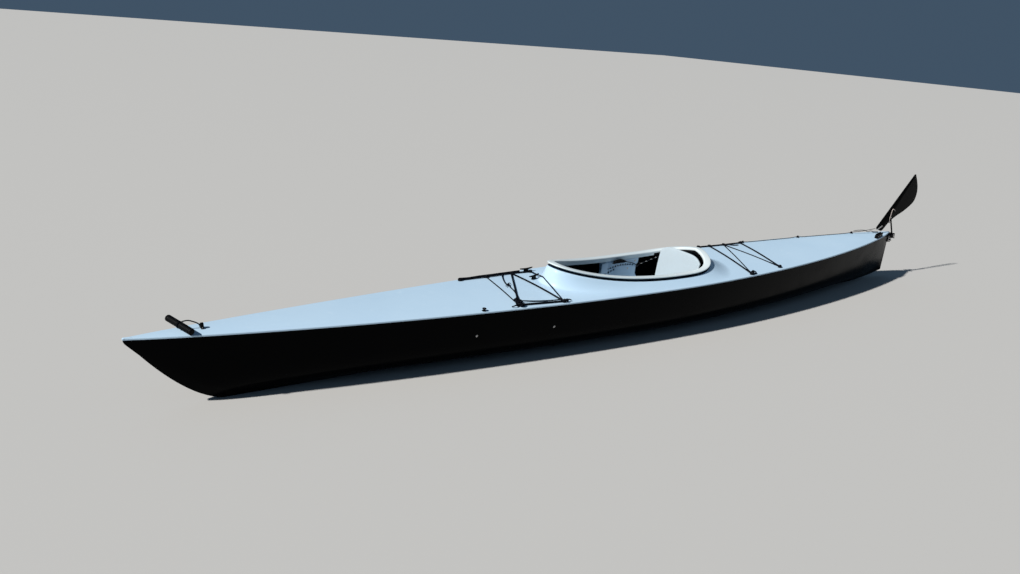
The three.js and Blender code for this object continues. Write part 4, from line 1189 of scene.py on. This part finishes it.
def makeHipPad(side, sign):
    # a foam pad in a stitched cover, blown up from a slab by the cloth solver and flat on the plate
    front, back, foot, top, corner = (hipPad[key] for key in ("front", "back", "foot", "top", "corner"))
    inner = sign * (cheek["y"] - 0.0003)
    outline = softened([(x, z, corner) for x, z in ((front, foot), (front, top), (back, top), (back, foot))], 7)
    flat = athwart(inner - sign * hipPad["thick"] * hipPad["coreAt"])
    form = Form().slab(drawnIn(outline, 0.002), hipPad["thick"] * hipPad["core"], 0.003, flat)
    pad = place(f"hip_pad_cover_{side}", form, "hip_pad_foam", 60, touching, replaced=(f"hip_pad_{side}",))
    swell(pad, sign * inner)
    pad.data.shade_smooth()


def swell(pad, wall):
    remesh = pad.modifiers.new("even", "REMESH")
    remesh.mode, remesh.voxel_size = "VOXEL", hipPad["cell"]
    applyModifiers(pad)
    start = [v.co.copy() for v in pad.data.vertices]
    cloth = pad.modifiers.new("cloth", "CLOTH")
    cloth.settings.use_pressure = True
    cloth.settings.uniform_pressure_force = hipPad["pressure"]
    cloth.settings.effector_weights.gravity = 0
    for frameNumber in range(1, 21):
        bpy.context.scene.frame_set(frameNumber)
    applyModifiers(pad)
    bpy.context.scene.frame_set(1)
    side, most = 1 if start[0].y > 0 else -1, hipPad["swelling"]
    for v, old in zip(pad.data.vertices, start):
        move = v.co - old
        if move.length > most:
            v.co = old + move.normalized() * most
        v.co.y = side * min(side * v.co.y, wall)
    smooth = pad.modifiers.new("smooth", "SUBSURF")
    smooth.levels = smooth.render_levels = 1
    applyModifiers(pad)
    pad.data.materials.clear()
    pad.data.materials.append(finishes["hip_pad_foam"])


for side, sign in (("port", 1), ("starboard", -1)):
    makeCheek(side, sign)
    makeHipPad(side, sign)
makePan()
makeBackrest()
print("seat made")


# Backrest cords: a flecked one to each cheek plate, a black one forward to its adjuster; points of the port side
backrestCord = {
    "radius": 0.0023,
    "line": ((-0.386, 0.159, 0.312), (-0.352, 0.163, 0.302), (-0.300, 0.171, 0.286), (-0.262, 0.179, 0.273),
             (-0.232, 0.1835, 0.262)),
    "knot": (-0.230, 0.1815, 0.258), "blackRadius": 0.0022,
    "black": ((-0.230, 0.1815, 0.263), (-0.205, 0.182, 0.275), (-0.180, 0.1815, 0.284), (-0.150, 0.180, 0.291),
              (-0.122, 0.178, 0.298)),
}
adjuster = {"y": 0.1755, "wide": 0.013, "rollers": (-0.045, -0.066, -0.087), "rollerZ": 0.304,
            "outline": ((-0.024, 0.2930, 0.006), (-0.050, 0.3150, 0.016), (-0.096, 0.3170, 0.016),
                        (-0.134, 0.3000, 0.010), (-0.112, 0.2935, 0.006)),
            "roller": ((0, -0.0085), (0.0050, -0.0085), (0.0058, -0.0070), (0.0058, 0.0070), (0.0050, 0.0085),
                       (0, 0.0085))}


def makeBackrestCords(side, sign):
    line, black = (throughPoints([(x, sign * y, z) for x, y, z in backrestCord[key]])
                   for key in ("line", "black"))
    x, y, z = backrestCord["knot"]
    knot = Matrix.Translation((x, sign * y, z)) @ Matrix.Rotation(sign * math.pi / 2, 4, "X")
    form = Form().tube(line, backrestCord["radius"])
    form.tube(knotPath(0.0020, knot), backrestCord["blackRadius"], 10)
    place(f"backrest_line_{side}", form, "flecked_line", 60, replaced=(f"backrest_cord_{side}",))
    place(f"adjuster_line_{side}", Form().tube(black, backrestCord["blackRadius"]), "thin_line", 60)
    body = Form().slab(softened(adjuster["outline"]), adjuster["wide"], 0.003, athwart(sign * adjuster["y"]))
    for x in adjuster["rollers"]:
        spot = Matrix.Translation((x, sign * adjuster["y"], adjuster["rollerZ"])) @ athwart()
        body.lathe(adjuster["roller"], 18, spot)
    place(f"adjuster_{side}", body, "fitting_plastic", 35, touching)


for side, sign in (("port", 1), ("starboard", -1)):
    makeBackrestCords(side, sign)
print("backrest cords made")


# Foot braces: rails with an open channel and pedals with ribs, and their bolts through the hull
braces = {
    "from": 0.680, "to": 1.150, "z": 0.150, "height": 0.022, "thick": 0.012, "web": 0.006, "lip": 0.0055,
    "gap": 0.0006, "pedalX": 0.870, "pedalHeight": 0.100, "pedalZ": 0.165, "reach": 0.084, "pad": 0.012,
    "slider": 0.060, "sliderThick": 0.014, "sliderHalf": 0.015, "ribFrom": 0.014, "ribHalf": 0.0022,
    "bolts": ((1.136, 0.170), (0.708, 0.166)),
}
braceBolt = ((0, 0), (0.0060, 0), (0.0060, 0.0008), (0.0056, 0.0013), (0.0040, 0.0016), (0.0038, 0.0030),
             (0.0030, 0.0036), (0.0018, 0.0037), (0.0015, 0.0026), (0, 0.0026))


def wallAt(curve, z):
    # half-width of a section at height z, and the way that it runs there
    for above, below in zip(curve, curve[1:]):
        if below.y < z <= above.y:
            share = (z - below.y) / (above.y - below.y)
            return blendTo(below.x, above.x, share), (above - below).normalized()
    return curve[-1].x, Vector((0, 1))


def bracePlace(sign):
    # local X runs forward along the rail, whose outer face is at local Y = 0
    foot, ends = braces["z"] - braces["height"] / 2 - 0.001, (braces["from"], braces["to"])
    reaches = []
    for x in ends:
        fullness, (sheer, top, chine, low, keelEdge) = hullCorners(x, hullShell["wall"])
        reaches.append(wallAt([sheer] + bend(top, chine, low, 7), foot)[0] - 0.0005)
    aft, fore = reaches
    turn = Matrix.Rotation(sign * math.atan2(fore - aft, ends[1] - ends[0]), 4, "Z")
    return Matrix.Translation((sum(ends) / 2, sign * (aft + fore) / 2, 0)) @ turn


def makeBrace(side, sign):
    b, spot = braces, bracePlace(sign)
    half, thick, web, lip = b["height"] / 2, b["thick"], b["web"], b["lip"]
    section = softened([(0, -half, 0.001), (0, half, 0.001), (-thick, half, 0.001), (-thick, half - lip, 0.0008),
                        (-web, half - lip, 0.0008), (-web, -half + lip, 0.0008), (-thick, -half + lip, 0.0008),
                        (-thick, -half, 0.001)], 3)
    run = (b["to"] - b["from"]) / 2
    rail = Form().loft([[(x, sign * p.x, b["z"] + p.y) for p in section] for x in spread(-run, run, 12)],
                       place=spot)
    place(f"foot_rail_bar_{side}", rail, "rail_metal", 30, touching, replaced=(f"foot_rail_{side}",))
    at, inboard, slider, tall = b["pedalX"] - b["from"] - run, thick + b["gap"], b["slider"] / 2, b["sliderHalf"]
    pedal = Form()
    corners = softened([(-slider, -tall, 0.004), (slider, -tall, 0.004), (slider, tall, 0.004),
                        (-slider, tall, 0.004)])
    middleOfSlider = Matrix.Translation((at, -sign * (inboard + b["sliderThick"] / 2), b["z"]))
    pedal.slab(corners, b["sliderThick"], 0.0012, spot @ middleOfSlider @ athwart())
    reach, tall = b["reach"], b["pedalHeight"] / 2
    face = softened([(0, -tall, 0.012), (reach, -tall, 0.020), (reach, tall, 0.020), (0, tall, 0.012)])
    facing = Matrix(((0, 0, 1, 0), (-sign, 0, 0, 0), (0, 1, 0, 0), (0, 0, 0, 1)))
    pedal.slab(face, b["pad"], 0.002, spot @ Matrix.Translation((at, -sign * inboard, b["pedalZ"])) @ facing)
    start, end, edge = b["ribFrom"], reach - 0.008, b["ribHalf"]
    for z in spread(-0.034, 0.034, 6):
        rib = softened([(start, z - edge, 0.002), (end, z - edge, 0.002), (end, z + edge, 0.002),
                        (start, z + edge, 0.002)], 3)
        upright = Matrix.Translation((at - 0.0009, -sign * inboard, b["pedalZ"])) @ facing
        pedal.slab(rib, 0.0150, 0.0006, spot @ upright)
    place(f"pedal_plate_{side}", pedal, "pedal_plastic", 35, touching, f"pedal_{side}", (f"pedal_{side}",))
    heads = Form()
    for x, z in b["bolts"]:
        y, slope = wallAt(hullSection(x), z)
        foot = Vector((x, sign * (y - 0.0005), z))
        heads.lathe(braceBolt, 24, pointing(foot, foot + Vector((0, sign * slope.y, -slope.x))))
    place(f"brace_bolts_{side}", heads, "bracket_metal", 40)


for side, sign in (("port", 1), ("starboard", -1)):
    makeBrace(side, sign)
print("foot braces made")


# Bulkheads: closed foam, cut to the hull's inside and to the underside of the deck
bulkheads = {"fore": (1.250, 1.280), "aft": (-0.760, -0.730)}
bulkheadEdge = ((0, 0.0090), (0.0008, 0.0074), (0.003, 0.0066))  # (from the end, inset from the hull's skin)


def bulkheadRing(x, inset):
    half = hullSection(x, inset)
    half[0].y -= 0.0003
    inner = half[0].x - 0.011
    arch = [(x, y, flatDeck(x, y) + 0.0007 - inset) for y in spread(-inner, inner, 25)]
    return [(x, p.x, p.y) for p in half] + [(x, -p.x, p.y) for p in reversed(half)] + arch


def makeBulkhead(name, start, end):
    rows = [(start + off, inset) for off, inset in bulkheadEdge]
    rows += [(end - off, inset) for off, inset in reversed(bulkheadEdge)]
    panel = Form().loft([bulkheadRing(x, inset) for x, inset in rows])
    place(f"bulkhead_{name}_panel", panel, "bulkhead_foam", 40, replaced=(f"bulkhead_{name}",))


for name, span in bulkheads.items():
    makeBulkhead(name, *span)
print("bulkheads made")


# Eyes on the deck: the bow eye, and the smaller ones that lead the lift line
facingAhead = Matrix(((0, 0, 1, 0), (1, 0, 0, 0), (0, 1, 0, 0), (0, 0, 0, 1)))
eyeShape = {
    "bow": 0.0068, "top": 0.008, "hole": 0.0036, "flare": 0.0050, "edge": 0.0009, "screw": (0.0018, 0.0009),
    "screwAt": (0.0089, 0.0034),
    "foot": ((-0.011, 0, 0), (0.011, 0, 0), (0.011, 0.003, 0.0012), (0.0068, 0.0050, 0.0012)),
    "lastCorners": ((-0.0068, 0.0050, 0.0012), (-0.011, 0.003, 0.0012)),
}
lifting = {"radius": 0.0019, "fairleads": (-1.240, -1.750, -2.250), "inboard": 0.024, "eye": 0.0086}


def makeEye(name, scale, length, x, y, turn, replaced):
    e = {key: value * scale for key, value in eyeShape.items() if isinstance(value, float)}
    arc = [(e["bow"] * math.cos(a), e["top"] + e["bow"] * math.sin(a), 0) for a in spread(0, math.pi, 17)]
    first, last = ([tuple(part * scale for part in corner) for corner in eyeShape[key]]
                   for key in ("foot", "lastCorners"))
    foot = standing(x, y, turn)
    form = Form().slab(softened(first + arc + last), length, e["edge"], foot @ facingAhead)
    eye = place(name, form, "fitting_plastic", 32, touching, replaced=(replaced,))
    hole, mouth = Form(), length / 2 - e["edge"]
    for share in (-1, 1):
        rings = [[(p.x, p.y, share * z) for p in circle(radius, 28, (0, e["top"]))]
                 for radius, z in ((e["hole"], 0), (e["hole"], mouth), (e["flare"], length / 2 + 0.0006 * scale))]
        hole.loft(rings, place=foot @ facingAhead)
    cutWith(eye, hole)
    screws, (out, up) = Form(), eyeShape["screwAt"]
    for side in (-1, 1):
        spot = Matrix.Translation((0, side * out * scale, up * scale)) @ Matrix.Rotation(-side * 0.45, 4, "X")
        screws.lathe(domed(*(part * scale for part in eyeShape["screw"])), 16, foot @ spot)
    place(f"{name}_screws", screws, "bracket_metal", 40)


def lineEdge(x):
    return -(halfBeam(x) - lifting["inboard"])


makeEye("bow_eye_body", 1.5, 0.012, bow["eyeX"], 0, 0, "bow_eye")
for index, x in enumerate(lifting["fairleads"]):
    slope = math.degrees(math.atan2(lineEdge(x + 0.01) - lineEdge(x - 0.01), 0.02))
    makeEye(f"fairlead_{index + 1}_eye", 1, 0.008, x, lineEdge(x), slope, f"fairlead_{index + 1}")
print("eyes made")


# Bow toggle: a ribbed grip with a waist where its cord goes round
grip = {"rib": 0.0068, "ribs": 7, "ribsFrom": 0.0160, "waist": 0.0030}


def makeToggle():
    radius, half = bow["toggleRadius"], bow["toggleLength"] / 2
    side = [(0, half), (radius - 0.0062, half), (radius - 0.0030, half - 0.0012),
            (radius - 0.0010, half - 0.0036), (radius, half - 0.0065), (radius, half - 0.0100),
            (radius - 0.0016, half - 0.0112), (radius - 0.0016, half - 0.0128), (radius, half - 0.0140)]
    for i in range(grip["ribs"]):
        z = half - grip["ribsFrom"] - i * grip["rib"]
        side += [(radius, z), (radius - 0.0002, z - 0.0030), (radius - 0.0012, z - 0.0040),
                 (radius - 0.0012, z - 0.0052), (radius - 0.0002, z - 0.0062)]
    waist = radius - grip["waist"]
    side += [(radius, 0.0100), (radius - 0.0004, 0.0070), (radius - 0.0026, 0.0046), (waist, 0.0022)]
    profile = [(r, -z) for r, z in side] + [(r, z) for r, z in reversed(side)]
    spot = pointing(togglePlace(), togglePlace() + toggleAxis())
    place("toggle_grip", Form().lathe(profile, 40, spot), "fitting_plastic", 40, replaced=("bow_toggle",))
    turn = [spot @ Vector((p.x, p.y, 0)) for p in circle(waist + bow["cordRadius"], 30)]
    place("toggle_wrap", Form().tube(turn, bow["cordRadius"] * 0.96, 12, loop=True), "thin_line", 60)


makeToggle()
print("toggle made")


# Stern deck: the guide block with its sheave, the lift line in its eyes, and the slack of the line
block = {
    "x": -2.360, "y": 0.064, "turn": 15.5, "long": 0.060, "high": 0.028, "wide": 0.022, "slotWide": 0.0070,
    "slotFloor": 0.014, "sheaveZ": 0.0145, "pins": (-0.042, 0, 0.042), "pin": (0.0034, 0.0012),
    "sheave": ((0, -0.0030), (0.0100, -0.0030), (0.0085, -0.0014), (0.0082, 0), (0.0085, 0.0014),
               (0.0100, 0.0030), (0, 0.0030)),
}
lineRun = {"start": -1.222, "leaves": -2.260, "sag": ((0.060, 0.0040), (0.260, 0.0034), (0.440, 0.0040)),
           "toBlade": ((-2.330, -0.038, 0.352), (-2.419, -0.005, 0.370))}
slackLine = [(-2.262, -0.074, 0.3470), (-2.300, -0.060, 0.3530), (-2.345, -0.042, 0.3540),
             (-2.388, -0.040, 0.3400), (-2.425, -0.041, 0.3430), (-2.455, -0.034, 0.3385),
             (-2.480, -0.020, 0.3385), (-2.462, -0.004, 0.3385), (-2.430, -0.008, 0.3385),
             (-2.420, -0.026, 0.3400)]


def makeQuarterBlock():
    long, high, foot = block["long"], block["high"], standing(block["x"], block["y"], block["turn"])
    outline = softened([(-long, 0, 0.001), (long, 0, 0.001), (long, high, 0.013), (-long, high, 0.013)], 8)
    body = place("quarter_block_body", Form().slab(outline, block["wide"], 0.0022, foot @ athwart()),
                 "fitting_plastic", 32, touching, replaced=("quarter_block",))
    past, floor = long + 0.01, block["slotFloor"]
    slot = softened([(-past, floor, 0), (past, floor, 0), (past, 0.04, 0), (-past, 0.04, 0)])
    cutWith(body, Form().slab(slot, block["slotWide"], 0.0004, foot @ athwart()))
    sheave = Form().lathe(block["sheave"], 36, foot @ Matrix.Translation((0, 0, block["sheaveZ"])) @ athwart())
    place("quarter_sheave", sheave, "fitting_plastic", 40)
    metal = Form()
    for side in (-1, 1):
        for x in block["pins"]:
            spot = Matrix.Translation((x, side * block["wide"] / 2, block["sheaveZ"]))
            metal.lathe(domed(*block["pin"]), 20, foot @ spot @ Matrix.Rotation(-side * math.pi / 2, 4, "X"))
    place("quarter_block_pins", metal, "bracket_metal", 40)


def makeLiftLine():
    route = [(lineRun["start"], lifting["eye"])]
    for x in lifting["fairleads"]:                        # up through the eye, then low over the deck behind it
        route += [(x, lifting["eye"])] + [(x - behind, height) for behind, height in lineRun["sag"]]
    points = [onDeck(x, lineEdge(x)) + deckNormal(x, lineEdge(x)) * height for x, height in route
              if x > lineRun["leaves"]]
    points += [Vector(p) for p in lineRun["toBlade"]]
    line = Form().tube(throughPoints(points, 10), lifting["radius"])
    line.tube(knotPath(0.0018, Matrix.Translation(points[0]) @ Matrix.Rotation(math.pi / 2, 4, "Y")), 0.0020, 10)
    place("rudder_lift_line", line, "thin_line", 60, replaced=("lift_line",))
    place("slack_line", Form().tube(throughPoints(slackLine), lifting["radius"]), "thin_line", 60)


makeQuarterBlock()
makeLiftLine()
print("stern deck made")


# Stern bracket: a bolted plate with two lugs that carry the steering pin
bracket = {
    "face": -2.5993, "plate": 0.005, "half": 0.013, "foot": 0.258, "top": 0.306, "lug": 0.006, "low": 0.264,
    "high": 0.282, "back": -2.650, "lugRound": 0.012325, "weld": 0.0012, "bolts": (0.2760, 0.2970),
}
bracketBolt = ((0, 0), (0.0060, 0), (0.0060, 0.0008), (0.0042, 0.0010), (0.0042, 0.0034), (0.0034, 0.0040),
               (0.0020, 0.0040), (0.0017, 0.0022), (0, 0.0022))
steer = {"x": -2.632, "radius": 0.0055, "clearance": 0.0005, "foot": 0.256, "barrel": 0.011, "cap": 0.0090}
lift = {"x": -2.655, "z": 0.307, "pin": 0.004, "pinPast": 0.003,
        "washer": ((0.0039, 0), (0.0078, 0), (0.0078, 0.0009), (0.0039, 0.0011)), "hole": 0.0046, "eye": 0.012}
yoke = {
    "foot": 0.289, "floor": 0.297, "top": 0.322, "peak": -2.634, "back": -2.670, "front": -2.616, "half": 0.015,
    "slot": 0.005, "floorBack": -2.645, "arm": 0.034, "armThick": 0.005, "armFront": -2.6325, "armBack": -2.6430,
    "armRoot": 0.012, "eyelet": (-2.638, 0.0288), "eyeletRadius": 0.0021,
}
blade = {
    "thick": 0.007, "edge": 0.0011, "neck": (-2.580, 0.450), "neckHalf": 0.005, "neckFrom": 0.0075,
    "tipEdge": ((-2.422, 0.380), (-2.778, 0.755)),
    "bends": (((-2.789, 0.764), (-2.795, 0.748)), ((-2.862, 0.664), (-2.862, 0.612)),
              ((-2.862, 0.556), (-2.822, 0.532)), ((-2.762, 0.494), (-2.697, 0.470)),
              ((-2.612, 0.442), (-2.560, 0.405))),
    "root": (-2.508, 0.358), "rootBend": ((-2.492, 0.346), (-2.476, 0.352)), "rootEnd": (-2.430, 0.366),
    "strip": ((-2.432, 0.3640), (-2.489, 0.3890), 0.0055),
    "rivets": ((-2.582, 0.4450, 0.0052), (-2.445, 0.3700, 0.0030), (-2.477, 0.3840, 0.0030),
               (-2.600, 0.4080, 0.0034)),
}
bladeLine = {
    "radius": 0.0027, "knot": (-2.569, 0.0075, 0.409),
    "run": ((-2.612, 0.0055, 0.492), (-2.600, 0.0062, 0.503), (-2.586, 0.0066, 0.507), (-2.574, 0.0066, 0.503),
            (-2.570, 0.0064, 0.485), (-2.565, 0.0064, 0.457), (-2.562, 0.0064, 0.437), (-2.568, 0.0062, 0.411)),
}


def makeBracket():
    face, plate, half, back, lug = (bracket[key] for key in ("face", "plate", "half", "back", "lug"))
    middleZ, tall = (bracket["foot"] + bracket["top"]) / 2, (bracket["top"] - bracket["foot"]) / 2
    outline = softened([(-half, -tall, 0.004), (half, -tall, 0.004), (half, tall, 0.004), (-half, tall, 0.004)])
    form = Form().slab(outline, plate, 0.0007, Matrix.Translation((face - plate / 2, 0, middleZ)) @ facingAhead)
    start, end = face - 0.0010, bracket["lugRound"]
    lugOutline = softened([(start, -half, 0), (start, half, 0), (back, half, end), (back, -half, end)], 8)
    for z in (bracket["low"], bracket["high"]):
        form.slab(lugOutline, lug, 0.0007, Matrix.Translation((0, 0, z + lug / 2)))
        form.tube([(face - plate, y, z) for y in (-half + 0.002, half - 0.002)], bracket["weld"], 10)
    piece = place("bracket_body", form, "bracket_metal", 32, touching, replaced=("stern_bracket",))
    bore = steer["radius"] + steer["clearance"]
    profile = [(0, 0.20), (bore, 0.20), (bore, 0.32), (0, 0.32)]
    cutWith(piece, Form().lathe(profile, 32, Matrix.Translation((steer["x"], 0, 0))))
    bolts = Form()
    for z in bracket["bolts"]:
        outward = Matrix.Rotation(-math.pi / 2, 4, "Y")
        bolts.lathe(bracketBolt, 24, Matrix.Translation((face - plate, 0, z)) @ outward)
    place("bracket_bolts", bolts, "bracket_metal", 40)


def makeRudderHead():
    foot, half, front, back, slot, arm = (yoke[key] for key in ("foot", "half", "front", "back", "slot", "arm"))
    radius, barrel, cap, pinFoot = (steer[key] for key in ("radius", "barrel", "cap", "foot"))
    form, upright = Form(), Matrix.Translation((steer["x"], 0, 0))
    form.lathe([(0, pinFoot), (radius - 0.0008, pinFoot), (radius, pinFoot + 0.0008), (radius, foot + 0.002),
                (0, foot + 0.002)], 32, upright)
    low, high = bracket["low"] + bracket["lug"] + 0.001, bracket["high"] - 0.001
    form.lathe([(0, low), (barrel - 0.001, low), (barrel, low + 0.001), (barrel, low + 0.003),
                (barrel - 0.0012, low + 0.004), (barrel - 0.0012, high - 0.004), (barrel, high - 0.003),
                (barrel, high - 0.001), (barrel - 0.001, high), (0, high)], 36, upright)
    capTop = bracket["low"] - 0.002
    form.lathe([(0, pinFoot), (cap - 0.001, pinFoot), (cap, pinFoot + 0.001), (cap, capTop - 0.001),
                (cap - 0.001, capTop), (0, capTop)], 32, upright)
    rear, edge = yoke["floorBack"], half - 0.001
    floor = softened([(rear, -edge, 0), (front, -edge, 0.006), (front, edge, 0.006), (rear, edge, 0)])
    form.slab(floor, yoke["floor"] - foot, 0.0010, Matrix.Translation((0, 0, (yoke["floor"] + foot) / 2)))
    side = softened([(back, foot, 0.007), (front, foot, 0.003), (front, foot + 0.014, 0.005),
                     (yoke["peak"], yoke["top"], 0.010), (back, yoke["top"], 0.014)], 7)
    wide = half - slot
    for sign in (-1, 1):
        form.slab(side, wide, 0.0012, athwart(sign * (slot + wide / 2)))
    ahead, behind, root = yoke["armFront"], yoke["armBack"], yoke["armRoot"]
    arms = softened([(behind - 0.0005, -root, 0), (behind, -arm, 0.006), (ahead, -arm, 0.006), (ahead, -root, 0),
                     (ahead, root, 0), (ahead, arm, 0.006), (behind, arm, 0.006), (behind - 0.0005, root, 0)], 6)
    form.slab(arms, yoke["armThick"], 0.0009, Matrix.Translation((0, 0, foot + yoke["armThick"] / 2)))
    place("yoke_body", form, "rudder_plastic", 35, touching, "rudder_head", ("rudder_head",))
    metal, reach, pin = Form(), half + lift["pinPast"], lift["pin"]
    metal.lathe([(0, -reach), (pin - 0.0008, -reach), (pin, -reach + 0.0008), (pin, reach - 0.0008),
                 (pin - 0.0008, reach), (0, reach)], 28, acrossLift())
    x, y = yoke["eyelet"]
    for sign in (-1, 1):
        outward = Matrix.Rotation(-sign * math.pi / 2, 4, "X")
        metal.lathe(lift["washer"], 28, Matrix.Translation((lift["x"], sign * half, lift["z"])) @ outward)
        ring = circle(yoke["eyeletRadius"], 20, (x, sign * y))
        metal.tube([(p.x, p.y, foot + yoke["armThick"] + 0.0003) for p in ring], 0.0008, 8, loop=True)
    place("lift_pin", metal, "bracket_metal", 40, body="rudder_head")


def acrossLift():
    # local Z runs along the lifting pin
    return Matrix.Translation((lift["x"], 0, lift["z"])) @ Matrix.Rotation(math.pi / 2, 4, "X")


def bladeOutline():
    points = [Vector(p) for p in blade["tipEdge"]]
    for knee, end in blade["bends"]:
        points += bend(points[-1], Vector(knee), Vector(end), 10)[1:]
    root, (knee, end) = Vector(blade["root"]), blade["rootBend"]
    return points + bend(root, Vector(knee), Vector(end), 10) + [Vector(blade["rootEnd"])]


def crossStrip(start, end, half):
    # the four corners of a straight strip from start to end
    way = (Vector(end) - Vector(start)).normalized()
    side = Vector((-way.y, way.x)) * half
    return [Vector(start) + side, Vector(start) - side, Vector(end) - side, Vector(end) + side]


def makeBlade():
    thick, edge, eye, hole = blade["thick"], blade["edge"], lift["eye"], lift["hole"]
    half, form = thick / 2, Form().slab(bladeOutline(), thick, edge, athwart())
    ring = [(hole, -half), (eye - 0.0009, -half), (eye, -half + 0.0009), (eye, half - 0.0009),
            (eye - 0.0009, half), (hole, half)]
    form.loft([[(p.x, p.y, z) for p in circle(r, 36)] for r, z in ring], loop=True, place=acrossLift())
    axis, neck = Vector((lift["x"], lift["z"])), Vector(blade["neck"])
    start = axis + (neck - axis).normalized() * blade["neckFrom"]
    form.slab(crossStrip(start, neck, blade["neckHalf"]), thick, edge, athwart())
    place("blade_plate_body", form, "blade_plate", 30, touching, "rudder_blade", ("rudder_blade",))
    metal = Form()
    start, end, wide = blade["strip"]
    strip = softened([(*p, wide * 0.8) for p in crossStrip(start, end, wide)])
    for sign in (-1, 1):
        metal.slab(strip, 0.0010, 0.0003, athwart(sign * (half + 0.0005)))
        for x, z, size in blade["rivets"]:
            spot = Matrix.Translation((x, sign * half, z)) @ Matrix.Rotation(-sign * math.pi / 2, 4, "X")
            metal.lathe(domed(size, size * 0.45), 24, spot)
    place("blade_metal", metal, "bracket_metal", 40, touching, "rudder_blade")
    x, y, z = bladeLine["knot"]
    line = Form().tube(throughPoints(bladeLine["run"]), bladeLine["radius"])
    line.tube(knotPath(0.0016, athwart(y) @ Matrix.Translation((x, z, 0))), 0.0022, 10)
    place("blade_line", line, "pale_line", 60, body="rudder_blade")


makeBracket()
makeRudderHead()
makeBlade()
print("stern and rudder made")


# Floor, light and the closing lines
floorSheet = {"half": 60, "color": (0.54, 0.53, 0.51), "roughness": 0.85, "specular": 0.2}


def setStage():
    half, mesh = floorSheet["half"], bpy.data.meshes.new("floor")
    mesh.from_pydata([(-half, -half, 0), (half, -half, 0), (half, half, 0), (-half, half, 0)], [], [(0, 1, 2, 3)])
    floor = bpy.data.objects.new("floor", mesh)
    bpy.context.scene.collection.objects.link(floor)
    paint = Paint("studio_floor", floorSheet["color"], floorSheet["roughness"], specular=floorSheet["specular"])
    mesh.materials.append(paint.material)


lights = {"sun": {"toward": (0.74, -0.05, 0.65), "strength": 4.6, "angle": 2.0, "color": (1.0, 0.98, 0.95)},
          "sky": {"color": (0.40, 0.66, 1.0), "strength": 0.13}}


def setLight():
    sun, light = bpy.data.objects.new("sun", bpy.data.lights.new("sun", "SUN")), lights["sun"]
    sun.data.energy, sun.data.color = light["strength"], light["color"]
    sun.data.angle = math.radians(light["angle"])
    sun.matrix_world = Vector(light["toward"]).to_track_quat("Z", "Y").to_matrix().to_4x4()
    bpy.context.scene.collection.objects.link(sun)
    world = bpy.data.worlds.new("studio")
    world.use_nodes = True
    sky = world.node_tree.nodes["Background"]
    sky.inputs[0].default_value = (*lights["sky"]["color"], 1)
    sky.inputs[1].default_value = lights["sky"]["strength"]
    bpy.context.scene.world = world
    bpy.context.scene.view_settings.view_transform = "Standard"


setStage()
setLight()
for name, node in frame["nodes"].items():                 # nodes that stay get their finish
    slotName = next(s["material_slot"] for s in frame["record"]["subparts"] if s["node"] == name)
    node.data.materials.clear()
    node.data.materials.append(finishes[slotName])
